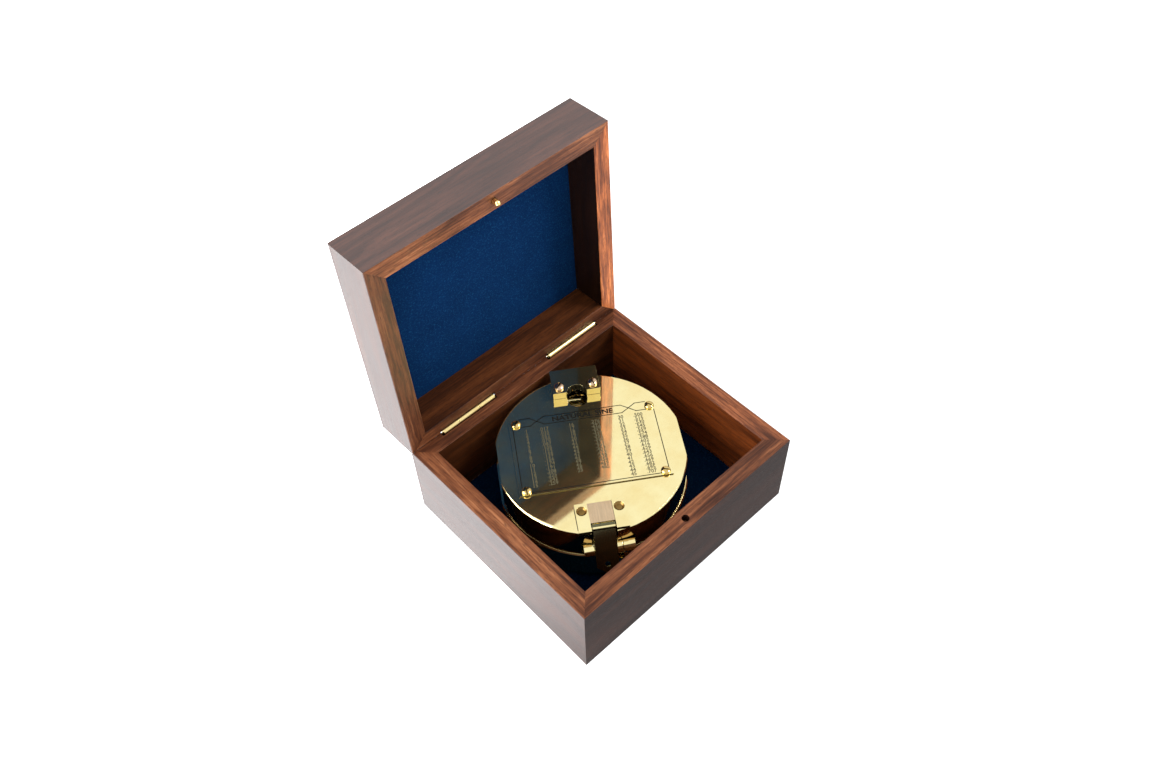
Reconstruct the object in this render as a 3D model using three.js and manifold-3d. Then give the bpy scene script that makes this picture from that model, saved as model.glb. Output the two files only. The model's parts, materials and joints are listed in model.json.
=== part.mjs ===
// A pocket transit compass lying closed in its open, felt-lined hardwood box.
// Millimetres, +Z up. Origin: centre of the box's underside. +X runs along the box front,
// +Y from the front to the hinged back. The compass is built in its own turned group.

import * as THREE from 'three';
import { mergeVertices } from 'three/addons/utils/BufferGeometryUtils.js';
import Module from 'manifold-3d';

const wasm = await Module();
wasm.setup();

// ---------------------------------------------------------------- driving dimensions

const REST_GAP = 0.1; // left between two pieces that rest on each other
const RUN_GAP = 0.3; // left round a piece that moves
const MITRE_GAP = 0.07; // taken off each end of a mitred wall
const CUT = 1; // how far a cutting shape runs past the face that it cuts

// sides on a round shape
const LARGE_ROUND = 64;
const MEDIUM_ROUND = 28;
const SMALL_ROUND = 14;

// box
const BOX_W = 110;
const BOX_D = 98.5;
const BASE_H = 38;
const LID_H = 20.5;
const WALL = 7.6;
const FLOOR_T = 4.5;
const TOP_T = 4.5;
const FELT_T = 0.8;
const FELT_MARGIN = 0.2;

// box hinges: narrow butt hinges let into kerfs near the back edge
const HINGE_INSET = 1.2; // hinge axis to the back face
const HINGE_Y = BOX_D / 2 - HINGE_INSET;
const HINGE_Z = BASE_H + REST_GAP / 2;
const LID_RIM = BASE_H + REST_GAP; // underside of the closed lid's rim
const HINGE_X = [-27, 29];
const HINGE_LENGTH = 26;
const HINGE_END_GAP = 1;
const KNUCKLE_SPLIT = 5.2; // half-length of the middle knuckle
const KNUCKLE_R = 1.35;
const HINGE_PIN_R = 0.55;
const HINGE_BORE_R = 0.75;
const LEAF_T = 0.9;
const LEAF_DEPTH = 7;
const CHAMFER_START = -0.15; // from the hinge axis to where the back chamfer starts
const CHAMFER_SLOPE = THREE.MathUtils.degToRad(46.6);
const BOX_OPEN = THREE.MathUtils.degToRad(92.3);

// catch: a pin in the lid's front rim and a hole in the base's front rim
const CATCH_R = 1.2;
const CATCH_LENGTH = 2.8;
const CATCH_SEAT = 4;
const CATCH_HOLE_R = 1.5;
const CATCH_HOLE_DEPTH = 4;

// compass, in its own frame: +X across, +Y towards its lid hinge, z = 0 under its case
const COMPASS_X = -2.75;
const COMPASS_Y = 2.7;
const COMPASS_TURN = THREE.MathUtils.degToRad(-33.7);
const COMPASS_Z = FLOOR_T + FELT_T + 2 * REST_GAP + 0.1;

const CASE_R = 38.7;
const CASE_FLAT = 37.1; // centre to each side flat
const CASE_H = 15;
const CASE_INNER_R = 34.6;
const CASE_FLOOR = 3.5;
const CASE_EDGE = 1.2;
const RECESS_R = 17;
const RECESS_DEPTH = 2;

const LID_R = 38;
const LID_FLAT = 36.3;
const LID_BOTTOM = CASE_H + RUN_GAP;
const LID_TOP = 30;
const LID_WALL = 1.5;
const LID_PLATE_T = 1.6;
const LID_EDGE_R = 1;
const NOTCH_FROM = 32; // both notches in the lid's side wall start inside it
const MIRROR_R = 34.4;
const MIRROR_T = 1.2;

// far end: the hinge between case and compass lid
const AXIS_Y = 37;
const AXIS_Z = CASE_H + 0.15;
const BARREL_R = 2.2;
const BARREL_PIN_R = 0.9;
const BARREL_BORE_R = 1.1;
const BLOCK_X = -0.95; // the fittings sit a little to one side
const BLOCK_HALF = 9.6;
const BLOCK_FRONT = 26.9;
const BLOCK_BACK = 38.9;
const BLOCK_T = 3.6;
const LEG_HALF = 5.2;
const LEG_IN = 38.15;
const LEG_OUT = 38.9;
const BLOCK_SCREW_X = 6.9; // either side of the middle of the block
const BLOCK_SCREW_Y = 30;
const BLOCK_SCREW_HOLE_R = 1.15;
const BLOCK_SCREW_HOLE_DEPTH = 3.1;
const NOTCH_HALF = 9.9;
const NOTCH_BOTTOM = CASE_H - 5;
const KNUCKLE_OUT = 38.7;
const KNUCKLE_FOOT_OUT = 35.9; // short of the leg's path when the lid is wide open
const WINDOW_R = 4.2;
const WINDOW_Y = 26;
const WINDOW_FROM = 20; // a height inside the compass lid, where cuts through its top start

// near end: sight bracket and peep flap on the lid, sight arm on the case
const BRACKET_X = -1.2;
const FLAP_AXIS_Y = -36;
const FLAP_AXIS_Z = 30.95;
const FLAP_TILT = THREE.MathUtils.degToRad(31.5);
const FLAP_HALF = 4.3;
const FLAP_LENGTH = 18.9; // below its pin
const FLAP_HEAD = 1.9; // above its pin
const FLAP_T = 1;
const FLAP_SLOT_HALF = 4.9;
const FLAP_SLOT_FROM = -33.8; // the lid's rim is cut away in front of this, for the flap's head
const FLAP_POINT = 2.6;
const FLAP_HOLE_R = 1.1;
const FLAP_PIN_R = 0.4;
const TAB_IN = 4.7;
const TAB_OUT = 9.6;
const TAB_BACK = -25.1;
const TAB_FRONT = -37.6;
const TAB_T = 1.7;
const STRIP_T = 1.1;
const STRIP_FRONT = -33.8;
const RIVET_X = 7.15;
const RIVET_Y = -28.4;
const RIVET_R = 1;
const SINK_FROM = 0.5; // where the countersink starts, above the lid
const SINK_R = 2.1;
const FLAP_BORE_R = 0.55;
const FLAP_BARREL_R = 0.95;
const ARM_AXIS_Y = -38.2;
const ARM_AXIS_Z = 19.8;
const ARM_BARREL_R = 3;
const ARM_PIN_R = 1.1;
const ARM_BORE_R = 1.3;
const ARM_X = 0.35;
const ARM_KNUCKLE_HALF = 5;
const LUG_OUT = 9.75;
const LUG_FRONT = 2.4; // from the arm's axis to the front of its lugs
const LUG_BOTTOM = 6;
const ARM_HALF = 3.5;
const ARM_T = 1.5;
const ARM_Z = 16.2;
const ARM_END = 22;
const ARM_SLOT = [-28, 10]; // from and to, along the arm
const ARM_SLOT_HALF = 1;
const TIP_HALF = 3;
const TIP_START = 12.5;
const TIP_SHOULDER = 18.5;
const TIP_END = 21.5;
const TIP_T = 0.9;
const TIP_HOLE_R = 0.8;
const TIP_HOLE_Y = 17;

// engraved table plate
const PLATE_HALF_X = 29.8;
const PLATE_HALF_Y = 17.7;
const PLATE_AT = [-0.3, 0.7]; // its middle
const PLATE_T = 0.4;
const PLATE_SCREW_AT = [27, 16]; // either side of its middle
const PLATE_HOLE_R = 0.95;

// dial and levels
const DIAL_OUTER_R = 34.3;
const DIAL_INNER_R = 27.5;
const DIAL_TOP = 10.2;
const GLASS_SEAT = 12.2;
const GLASS_T = 1.2;
const GLASS_SHELF = 1.6;
const RING_T = 1.1;
const RING_INNER_R = 31.5;
const BASE_PLATE_T = 0.8;
const BASE_PLATE_TOP = CASE_FLOOR + REST_GAP + BASE_PLATE_T;
const NEEDLE_Z = 10.4;
const NEEDLE_T = 0.5;
const NEEDLE_TIP = 26.6;
const NEEDLE_HALF = 2.1;
const NEEDLE_HUB_R = 3;
const CAP_NECK_R = 1.4;
const CAP_RIM_R = 2.5;
const CAP_TOP_R = 1.6;
const CAP_RISE = 0.9;
const POST_FOOT_R = 1.5;
const POST_R = 0.9;
const POST_TIP_R = 0.15;
const SHAFT_R = 2;
const CLINO_Z = BASE_PLATE_TOP + 0.5;
const CLINO_T = 0.8;
const LIFTER_TURN = THREE.MathUtils.degToRad(45);
const LIFTER_PIVOT = 20;
const LIFTER_PIN_RADIUS = 36.4;
const LIFTER_Z = 5.6;
const LIFTER_T = 0.8;
const ROUND_LEVEL = [-10, 12];
const LEVEL_R = 4.6;
const LEVEL_CUP_R = 6;
const LEVEL_CUP_H = 4;

// ---------------------------------------------------------------- materials

function material(color, roughness, metalness) {
  return new THREE.MeshStandardMaterial({ color, roughness, metalness });
}

const WOOD = material(0x5a2f22, 0.3, 0);
const FELT = material(0x0b2a55, 0.95, 0);
const BRASS = material(0xd9b765, 0.15, 1);
const DARK_BRASS = material(0x9c7b3a, 0.3, 1);
const STEEL = material(0x9aa0a6, 0.25, 1);
const MIRROR = material(0xe6e9ec, 0.03, 1);
const DIAL = material(0xe9e4d4, 0.6, 0);
const GLASS = new THREE.MeshStandardMaterial({ color: 0xdde6e6, transparent: true, opacity: 0.3 });
const VIAL = new THREE.MeshStandardMaterial({ color: 0xb8d24a, transparent: true, opacity: 0.6 });

// ---------------------------------------------------------------- solids

function solidOf(geometry) {
  const bare = geometry.index ? geometry.toNonIndexed() : geometry.clone();
  bare.deleteAttribute('normal');
  bare.deleteAttribute('uv');
  const merged = mergeVertices(bare, 1e-4);
  return new wasm.Manifold(new wasm.Mesh({
    numProp: 3,
    vertProperties: new Float32Array(merged.attributes.position.array),
    triVerts: new Uint32Array(merged.index.array),
  }));
}

function named(name, solid, look) {
  const raw = solid.getMesh();
  const geometry = new THREE.BufferGeometry();
  geometry.setAttribute('position', new THREE.BufferAttribute(raw.vertProperties, raw.numProp));
  geometry.setIndex(new THREE.BufferAttribute(raw.triVerts, 1));
  geometry.computeVertexNormals();
  const mesh = new THREE.Mesh(geometry, look);
  mesh.name = name;
  return mesh;
}

// a box between two corners
function block(x0, x1, y0, y1, z0, z1) {
  const geometry = new THREE.BoxGeometry(x1 - x0, y1 - y0, z1 - z0);
  geometry.translate((x0 + x1) / 2, (y0 + y1) / 2, (z0 + z1) / 2);
  return solidOf(geometry);
}

// an outline in XY raised from z0 to z1
function raised(shape, z0, z1, curveSegments = SMALL_ROUND) {
  const geometry = new THREE.ExtrudeGeometry(shape, {
    depth: z1 - z0, bevelEnabled: false, curveSegments,
  });
  geometry.translate(0, 0, z0);
  return solidOf(geometry);
}

function outline(points) {
  return new THREE.Shape(points.map(([x, y]) => new THREE.Vector2(x, y)));
}

// a body of revolution round Z from [radius, z] points
function turned(points, segments = LARGE_ROUND, x = 0, y = 0) {
  const profile = points.map(([r, z]) => new THREE.Vector2(r, z));
  const geometry = new THREE.LatheGeometry(profile, segments);
  geometry.rotateX(Math.PI / 2);
  geometry.scale(1, -1, 1);
  // the mirror above turns the faces inside out, so each triangle is wound back
  const flat = geometry.toNonIndexed();
  const p = flat.attributes.position;
  for (let i = 0; i < p.count; i += 3) {
    const [ax, ay, az] = [p.getX(i + 1), p.getY(i + 1), p.getZ(i + 1)];
    p.setXYZ(i + 1, p.getX(i + 2), p.getY(i + 2), p.getZ(i + 2));
    p.setXYZ(i + 2, ax, ay, az);
  }
  flat.translate(x, y, 0);
  return solidOf(dropSlivers(flat));
}

// a lathe leaves triangles of no area where its profile meets the axis
function dropSlivers(geometry) {
  const p = geometry.attributes.position;
  const kept = [];
  const corners = [new THREE.Vector3(), new THREE.Vector3(), new THREE.Vector3()];
  const triangle = new THREE.Triangle(...corners);
  for (let i = 0; i < p.count; i += 3) {
    corners.forEach((corner, k) => corner.fromBufferAttribute(p, i + k));
    triangle.set(...corners);
    if (triangle.getArea() > 1e-7) corners.forEach((corner) => kept.push(...corner.toArray()));
  }
  const clean = new THREE.BufferGeometry();
  clean.setAttribute('position', new THREE.Float32BufferAttribute(kept, 3));
  return clean;
}

function rod(radius, z0, z1, x = 0, y = 0, segments = MEDIUM_ROUND) {
  const geometry = new THREE.CylinderGeometry(radius, radius, z1 - z0, segments);
  geometry.rotateX(Math.PI / 2);
  geometry.translate(x, y, (z0 + z1) / 2);
  return solidOf(geometry);
}

// a cylinder along X
function barrel(radius, x0, x1, y, z, segments = MEDIUM_ROUND) {
  const geometry = new THREE.CylinderGeometry(radius, radius, x1 - x0, segments);
  geometry.rotateZ(Math.PI / 2);
  geometry.translate((x0 + x1) / 2, y, z);
  return solidOf(geometry);
}

const BLOCK_SCREW = { headR: 2, headH: 1.3, shankR: 1, shankL: 2.8 };
const PLATE_SCREW = { headR: 1.9, headH: 1.2, shankR: 0.8, shankL: 2 };
const SCREW_SLOT_W = 0.5;
const SCREW_SLOT_DEPTH = 0.6;
const HEAD_RIM = 0.35; // share of a head's height that stands straight up

// slotted screw: a domed head on a shank, head's underside at z
function screw({ headR, headH, shankR, shankL }, x, y, z, slotAngle) {
  const rise = 3;
  const dome = Array.from({ length: rise + 1 }, (_, i) => {
    const a = (i / rise) * (Math.PI / 2);
    return [headR * Math.cos(a), headH * (HEAD_RIM + (1 - HEAD_RIM) * Math.sin(a))];
  });
  dome[rise][0] = 0;
  const solid = turned([[0, -shankL], [shankR, -shankL], [shankR, 0], [headR, 0], ...dome], SMALL_ROUND);
  const slot = solidOf(new THREE.BoxGeometry(2 * headR + CUT, SCREW_SLOT_W, SCREW_SLOT_DEPTH * 2));
  const cut = slot.rotate([0, 0, slotAngle]).translate([0, 0, headH]);
  return solid.subtract(cut).translate([x, y, z]);
}

// circle of radius r with two flats across X, at +flat and -flat
function slab(flat, z0, z1) {
  return block(-flat, flat, -CASE_R - CUT, CASE_R + CUT, z0, z1);
}

// ---------------------------------------------------------------- box base and lid

const INNER_W = BOX_W / 2 - WALL;
const INNER_D = BOX_D / 2 - WALL;

// mitred wall outlines, seen from above
const WALLS = {
  front: outline([
    [-BOX_W / 2 + MITRE_GAP, -BOX_D / 2], [BOX_W / 2 - MITRE_GAP, -BOX_D / 2],
    [INNER_W - MITRE_GAP, -INNER_D], [-INNER_W + MITRE_GAP, -INNER_D],
  ]),
  back: outline([
    [-INNER_W + MITRE_GAP, INNER_D], [INNER_W - MITRE_GAP, INNER_D],
    [BOX_W / 2 - MITRE_GAP, BOX_D / 2], [-BOX_W / 2 + MITRE_GAP, BOX_D / 2],
  ]),
  left: outline([
    [-BOX_W / 2, -BOX_D / 2 + MITRE_GAP], [-INNER_W, -INNER_D + MITRE_GAP],
    [-INNER_W, INNER_D - MITRE_GAP], [-BOX_W / 2, BOX_D / 2 - MITRE_GAP],
  ]),
  right: outline([
    [INNER_W, -INNER_D + MITRE_GAP], [BOX_W / 2, -BOX_D / 2 + MITRE_GAP],
    [BOX_W / 2, BOX_D / 2 - MITRE_GAP], [INNER_W, INNER_D - MITRE_GAP],
  ]),
};

// wedge that takes the back edge off; up = 1 for the base, -1 for the lid
function backChamfer(up) {
  const y0 = HINGE_Y + CHAMFER_START;
  const y1 = BOX_D / 2 + CUT;
  const drop = (y1 - y0) * Math.tan(CHAMFER_SLOPE);
  const wedge = outline([[y0, 0], [y1, 0], [y1, -drop * up]]);
  const flipped = up > 0 ? wedge : outline([[y0, 0], [y1, drop], [y1, 0]]);
  const geometry = new THREE.ExtrudeGeometry(flipped, { depth: BOX_W + 2 * CUT, bevelEnabled: false });
  // outline X becomes Y and outline Y becomes Z
  geometry.rotateX(Math.PI / 2);
  geometry.rotateZ(Math.PI / 2);
  geometry.translate(-BOX_W / 2 - CUT, 0, HINGE_Z);
  return solidOf(geometry);
}

// groove for the barrels and kerf for the leaf, for one hinge; side = -1 base, 1 lid
function hingeCut(centre, side) {
  const half = HINGE_LENGTH / 2 + HINGE_END_GAP;
  const groove = barrel(KNUCKLE_R + RUN_GAP, centre - half, centre + half, HINGE_Y, HINGE_Z);
  const depth = LEAF_DEPTH + RUN_GAP;
  const low = side < 0 ? HINGE_Z - depth : HINGE_Z - CUT;
  const high = side < 0 ? HINGE_Z + CUT : HINGE_Z + depth;
  const thick = LEAF_T / 2 + REST_GAP;
  const kerf = block(centre - half, centre + half, HINGE_Y - thick, HINGE_Y + thick, low, high);
  return groove.add(kerf);
}

function boxBase() {
  const group = new THREE.Group();
  for (const [side, shape] of Object.entries(WALLS)) {
    let wall = raised(shape, 0, BASE_H);
    if (side === 'back') {
      wall = wall.subtract(backChamfer(1));
      for (const centre of HINGE_X) wall = wall.subtract(hingeCut(centre, -1));
    } else if (side !== 'front') {
      wall = wall.subtract(backChamfer(1));
    } else {
      const hole = rod(CATCH_HOLE_R, BASE_H - CATCH_HOLE_DEPTH, BASE_H + CUT, 0, -BOX_D / 2 + WALL / 2);
      wall = wall.subtract(hole);
    }
    group.add(named(`base_${side}_wall`, wall, WOOD));
  }
  const x = INNER_W - REST_GAP;
  const y = INNER_D - REST_GAP;
  group.add(named('base_floor_panel', block(-x, x, -y, y, 0, FLOOR_T), WOOD));
  const fx = INNER_W - FELT_MARGIN;
  const fy = INNER_D - FELT_MARGIN;
  const felt = block(-fx, fx, -fy, fy, FLOOR_T + REST_GAP, FLOOR_T + REST_GAP + FELT_T);
  group.add(named('base_felt_lining', felt, FELT));
  return group;
}

function boxLid() {
  const group = new THREE.Group();
  const top = LID_RIM + LID_H;
  for (const [side, shape] of Object.entries(WALLS)) {
    let wall = raised(shape, LID_RIM, top);
    if (side !== 'front') wall = wall.subtract(backChamfer(-1));
    if (side === 'back') for (const centre of HINGE_X) wall = wall.subtract(hingeCut(centre, 1));
    if (side === 'front') {
      const seat = rod(CATCH_R + REST_GAP, BASE_H - CUT, BASE_H + CATCH_SEAT, 0, -BOX_D / 2 + WALL / 2);
      wall = wall.subtract(seat);
    }
    group.add(named(`lid_${side}_wall`, wall, WOOD));
  }
  const x = INNER_W - REST_GAP;
  const y = INNER_D - REST_GAP;
  group.add(named('lid_top_panel', block(-x, x, -y, y, top - TOP_T, top), WOOD));
  const fx = INNER_W - FELT_MARGIN;
  const fy = INNER_D - FELT_MARGIN;
  const feltTop = top - TOP_T - REST_GAP;
  group.add(named('lid_felt_lining', block(-fx, fx, -fy, fy, feltTop - FELT_T, feltTop), FELT));
  group.add(named('lid_catch_pin', catchPin(), BRASS));
  return group;
}

function catchPin() {
  const tip = BASE_H - CATCH_LENGTH;
  const seat = BASE_H + CATCH_SEAT - REST_GAP;
  const round = 3;
  const nose = Array.from({ length: round }, (_, i) => {
    const a = ((i + 1) / round) * (Math.PI / 2);
    return [CATCH_R * Math.sin(a), tip + CATCH_R * (1 - Math.cos(a))];
  });
  return turned([[0, tip], ...nose, [CATCH_R, seat], [0, seat]], SMALL_ROUND, 0, -BOX_D / 2 + WALL / 2);
}

// base leaf carries the outer two knuckles, lid leaf the middle one
function boxHingeLeaf(centre, onLid) {
  const up = onLid ? 1 : -1;
  const half = HINGE_LENGTH / 2;
  const clear = KNUCKLE_R + RUN_GAP;
  const spans = onLid
    ? [[centre - KNUCKLE_SPLIT, centre + KNUCKLE_SPLIT]]
    : [
      [centre - half, centre - KNUCKLE_SPLIT - REST_GAP],
      [centre + KNUCKLE_SPLIT + REST_GAP, centre + half],
    ];
  const between = (a, b) => [Math.min(a, b), Math.max(a, b)];
  const y = LEAF_T / 2;
  let leaf = block(centre - half, centre + half, HINGE_Y - y, HINGE_Y + y,
    ...between(HINGE_Z + up * clear, HINGE_Z + up * LEAF_DEPTH));
  for (const [x0, x1] of spans) {
    const neck = block(x0, x1, HINGE_Y - y, HINGE_Y + y, ...between(HINGE_Z, HINGE_Z + up * (clear + 1)));
    leaf = leaf.add(neck).add(barrel(KNUCKLE_R, x0, x1, HINGE_Y, HINGE_Z));
  }
  const bore = barrel(HINGE_BORE_R, centre - half - CUT, centre + half + CUT, HINGE_Y, HINGE_Z, SMALL_ROUND);
  return leaf.subtract(bore);
}

function boxHingePin(centre) {
  const half = HINGE_LENGTH / 2;
  return barrel(HINGE_PIN_R, centre - half, centre + half, HINGE_Y, HINGE_Z, SMALL_ROUND);
}

// ---------------------------------------------------------------- compass case

// a radial cutter for the needle lifter, from radius r0 to r1
function lifterCut(r0, r1, half, z0, z1) {
  return block(r0, r1, -half, half, z0, z1).rotate([0, 0, THREE.MathUtils.radToDeg(LIFTER_TURN)]);
}

function polar(radius, angle) {
  return [radius * Math.cos(angle), radius * Math.sin(angle)];
}

const LIFTER_HALF = 1.5;
const LIFTER_INNER = 4.4;
const LIFTER_SLOT_HALF = 2.4;
const LIFTER_SLOT_TOP = 7.6;
const LIFTER_PIN_R = 0.75;
const LIFTER_HOLE_R = 1.15;

function caseBody() {
  const outer = turned([
    [0, 0], [CASE_R - CASE_EDGE, 0], [CASE_R, CASE_EDGE], [CASE_R, CASE_H - 0.5],
    [CASE_R - 0.5, CASE_H], [0, CASE_H],
  ]);
  const body = outer.intersect(slab(CASE_FLAT, -CUT, CASE_H + CUT));
  const [px, py] = polar(LIFTER_PIN_RADIUS, LIFTER_TURN);
  const x0 = BLOCK_X - NOTCH_HALF;
  const x1 = BLOCK_X + NOTCH_HALF;
  return body
    .subtract(rod(CASE_INNER_R, CASE_FLOOR, CASE_H + CUT, 0, 0, LARGE_ROUND))
    .subtract(rod(RECESS_R, -CUT, RECESS_DEPTH, 0, 0, LARGE_ROUND))
    .subtract(rod(SHAFT_R + RUN_GAP, 0, CASE_FLOOR + CUT))
    .subtract(block(x0, x1, AXIS_Y - BARREL_R - RUN_GAP, CASE_R + CUT, NOTCH_BOTTOM, CASE_H + CUT))
    .subtract(lifterCut(CASE_INNER_R - CUT, CASE_R - 0.7, LIFTER_SLOT_HALF, LIFTER_Z - 0.3, LIFTER_SLOT_TOP))
    .subtract(rod(LIFTER_HOLE_R, LIFTER_Z, CASE_H + CUT, px, py, SMALL_ROUND));
}

// two lugs on a foot that fills the notch in the case wall
function caseHingeKnuckle() {
  const inner = AXIS_Y - BARREL_R;
  const foot = NOTCH_BOTTOM + REST_GAP;
  const footTop = AXIS_Z - BARREL_R - RUN_GAP;
  let solid = block(BLOCK_X - BLOCK_HALF, BLOCK_X + BLOCK_HALF, inner, KNUCKLE_FOOT_OUT, foot, footTop);
  for (const side of [-1, 1]) {
    const a = BLOCK_X + side * (LEG_HALF + RUN_GAP);
    const b = BLOCK_X + side * BLOCK_HALF;
    const [x0, x1] = [Math.min(a, b), Math.max(a, b)];
    solid = solid.add(block(x0, x1, inner, KNUCKLE_OUT, foot, AXIS_Z));
    solid = solid.add(barrel(BARREL_R, x0, x1, AXIS_Y, AXIS_Z));
  }
  return solid.subtract(barrel(BARREL_BORE_R, -CASE_R, CASE_R, AXIS_Y, AXIS_Z, SMALL_ROUND));
}

function compassHingePin() {
  return barrel(BARREL_PIN_R, BLOCK_X - BLOCK_HALF, BLOCK_X + BLOCK_HALF, AXIS_Y, AXIS_Z, SMALL_ROUND);
}

function dialBasePlate() {
  return rod(DIAL_OUTER_R, CASE_FLOOR + REST_GAP, BASE_PLATE_TOP, 0, 0, LARGE_ROUND)
    .subtract(rod(SHAFT_R + RUN_GAP, 0, CASE_H, 0, 0, SMALL_ROUND));
}

function dialRing() {
  const seatIn = DIAL_OUTER_R - GLASS_SHELF;
  const ring = turned([
    [DIAL_INNER_R, BASE_PLATE_TOP + REST_GAP], [DIAL_OUTER_R, BASE_PLATE_TOP + REST_GAP],
    [DIAL_OUTER_R, GLASS_SEAT], [seatIn, GLASS_SEAT], [seatIn, DIAL_TOP],
    [DIAL_INNER_R, DIAL_TOP], [DIAL_INNER_R, BASE_PLATE_TOP + REST_GAP],
  ]);
  return ring.subtract(lifterCut(LIFTER_PIVOT, CASE_R, LIFTER_SLOT_HALF, 0, LIFTER_SLOT_TOP));
}

function coverGlass() {
  return rod(DIAL_OUTER_R, GLASS_SEAT + REST_GAP, GLASS_SEAT + REST_GAP + GLASS_T, 0, 0, LARGE_ROUND);
}

function glassRing() {
  const low = GLASS_SEAT + GLASS_T + 2 * REST_GAP;
  return turned([
    [RING_INNER_R, low], [DIAL_OUTER_R, low], [DIAL_OUTER_R, low + RING_T],
    [RING_INNER_R + 0.6, low + RING_T], [RING_INNER_R, low],
  ]);
}

// two-ended needle: a long diamond with a hole for its cap
function needle() {
  const half = NEEDLE_HALF;
  const blade = raised(outline([[half, 0], [0, NEEDLE_TIP], [-half, 0], [0, -NEEDLE_TIP]]),
    NEEDLE_Z, NEEDLE_Z + NEEDLE_T);
  const hub = rod(NEEDLE_HUB_R, NEEDLE_Z, NEEDLE_Z + NEEDLE_T);
  return blade.add(hub).subtract(rod(CAP_NECK_R + 2 * REST_GAP, 0, CASE_H, 0, 0, SMALL_ROUND));
}

function needleCap() {
  const top = NEEDLE_Z + NEEDLE_T + REST_GAP;
  return turned([
    [0, NEEDLE_Z], [CAP_NECK_R, NEEDLE_Z], [CAP_NECK_R, top], [CAP_RIM_R, top],
    [CAP_TOP_R, top + CAP_RISE], [0, top + CAP_RISE],
  ], SMALL_ROUND);
}

function pivotPost() {
  const low = CLINO_Z + CLINO_T + REST_GAP;
  const tip = NEEDLE_Z - 0.15;
  const taper = 1.2;
  return turned([
    [0, low], [POST_FOOT_R, low], [POST_R, low + taper], [POST_R, tip - taper], [POST_TIP_R, tip], [0, tip],
  ], SMALL_ROUND);
}

// lever with an upright finger under the needle hub and the pin at its outer end
function lifterLever() {
  const half = LIFTER_HALF;
  const inner = LIFTER_INNER;
  const bar = block(inner, LIFTER_PIN_RADIUS + 1, -half, half, LIFTER_Z, LIFTER_Z + LIFTER_T);
  const finger = block(inner, inner + 1, -half, half, LIFTER_Z, NEEDLE_Z - 0.5);
  const angle = THREE.MathUtils.radToDeg(LIFTER_TURN);
  const pivotHole = solidOf(new THREE.CylinderGeometry(0.3, 0.3, 4 * half, SMALL_ROUND));
  const placedHole = pivotHole.translate([LIFTER_PIVOT, 0, LIFTER_Z + LIFTER_T / 2]);
  return bar.add(finger).subtract(placedHole).rotate([0, 0, angle]);
}

function lifterPin() {
  const [x, y] = polar(LIFTER_PIN_RADIUS, LIFTER_TURN);
  return rod(LIFTER_PIN_R, LIFTER_Z + LIFTER_T + REST_GAP, LID_BOTTOM - 0.2, x, y, SMALL_ROUND);
}

// ---------------------------------------------------------------- clinometer and levels

const TUBE_Y = -15.5;
const TUBE_HALF = 10;
const TUBE_R = 1.5;
const TUBE_AXIS = CLINO_Z + CLINO_T + REST_GAP + 2.1;
const CRADLE_HALF = 2.4;
const CRADLE_H = 2;
const CLINO_HUB_R = 3.6;
const CLINO_SIDE = [[3, 0], [6, -12], [6, -24], [2, -26.4]]; // one side of the arm, hub to tip
const CLINO_LEVER_HALF = 2.4;
const CLINO_LEVER_END = -13.5;

function clinometerArm() {
  const mirrored = CLINO_SIDE.map(([x, y]) => [-x, y]);
  const arm = raised(outline([...mirrored, ...[...CLINO_SIDE].reverse()]), CLINO_Z, CLINO_Z + CLINO_T);
  return arm.add(rod(CLINO_HUB_R, CLINO_Z, CLINO_Z + CLINO_T));
}

function clinometerShaft() {
  return rod(SHAFT_R, RECESS_DEPTH - 0.2, CLINO_Z - REST_GAP);
}

function clinometerLever() {
  const low = 0.4;
  const high = RECESS_DEPTH - 0.3;
  const half = CLINO_LEVER_HALF;
  const bar = block(-half, half, CLINO_LEVER_END, 0, low, high);
  return bar.add(rod(CLINO_HUB_R, low, high)).add(rod(half, low, high, 0, CLINO_LEVER_END));
}

function tubeLevelHolder() {
  const low = CLINO_Z + CLINO_T + REST_GAP;
  const sides = [TUBE_Y - CRADLE_HALF, TUBE_Y + CRADLE_HALF];
  const cradle = block(-TUBE_HALF, TUBE_HALF, ...sides, low, low + CRADLE_H);
  const reach = TUBE_HALF + CUT;
  const groove = barrel(TUBE_R + 2 * REST_GAP, -reach, reach, TUBE_Y, TUBE_AXIS, SMALL_ROUND);
  return cradle.subtract(groove);
}

function tubeLevelVial() {
  return barrel(TUBE_R, -TUBE_HALF + 0.5, TUBE_HALF - 0.5, TUBE_Y, TUBE_AXIS, SMALL_ROUND);
}

function roundLevelCup() {
  const low = BASE_PLATE_TOP + REST_GAP;
  const [inner, outer, high] = [LEVEL_R + 2 * REST_GAP, LEVEL_CUP_R, low + LEVEL_CUP_H];
  return turned([[0, low], [outer, low], [outer, high], [inner, high], [inner, low + 1], [0, low + 1]],
    MEDIUM_ROUND, ...ROUND_LEVEL);
}

function roundLevelGlass() {
  const low = BASE_PLATE_TOP + REST_GAP + 2.4;
  return turned([[0, low], [LEVEL_R, low], [LEVEL_R, low + 1.4], [3, low + 1.7], [0, low + 1.8]],
    MEDIUM_ROUND, ...ROUND_LEVEL);
}

// ---------------------------------------------------------------- sight arm

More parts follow.
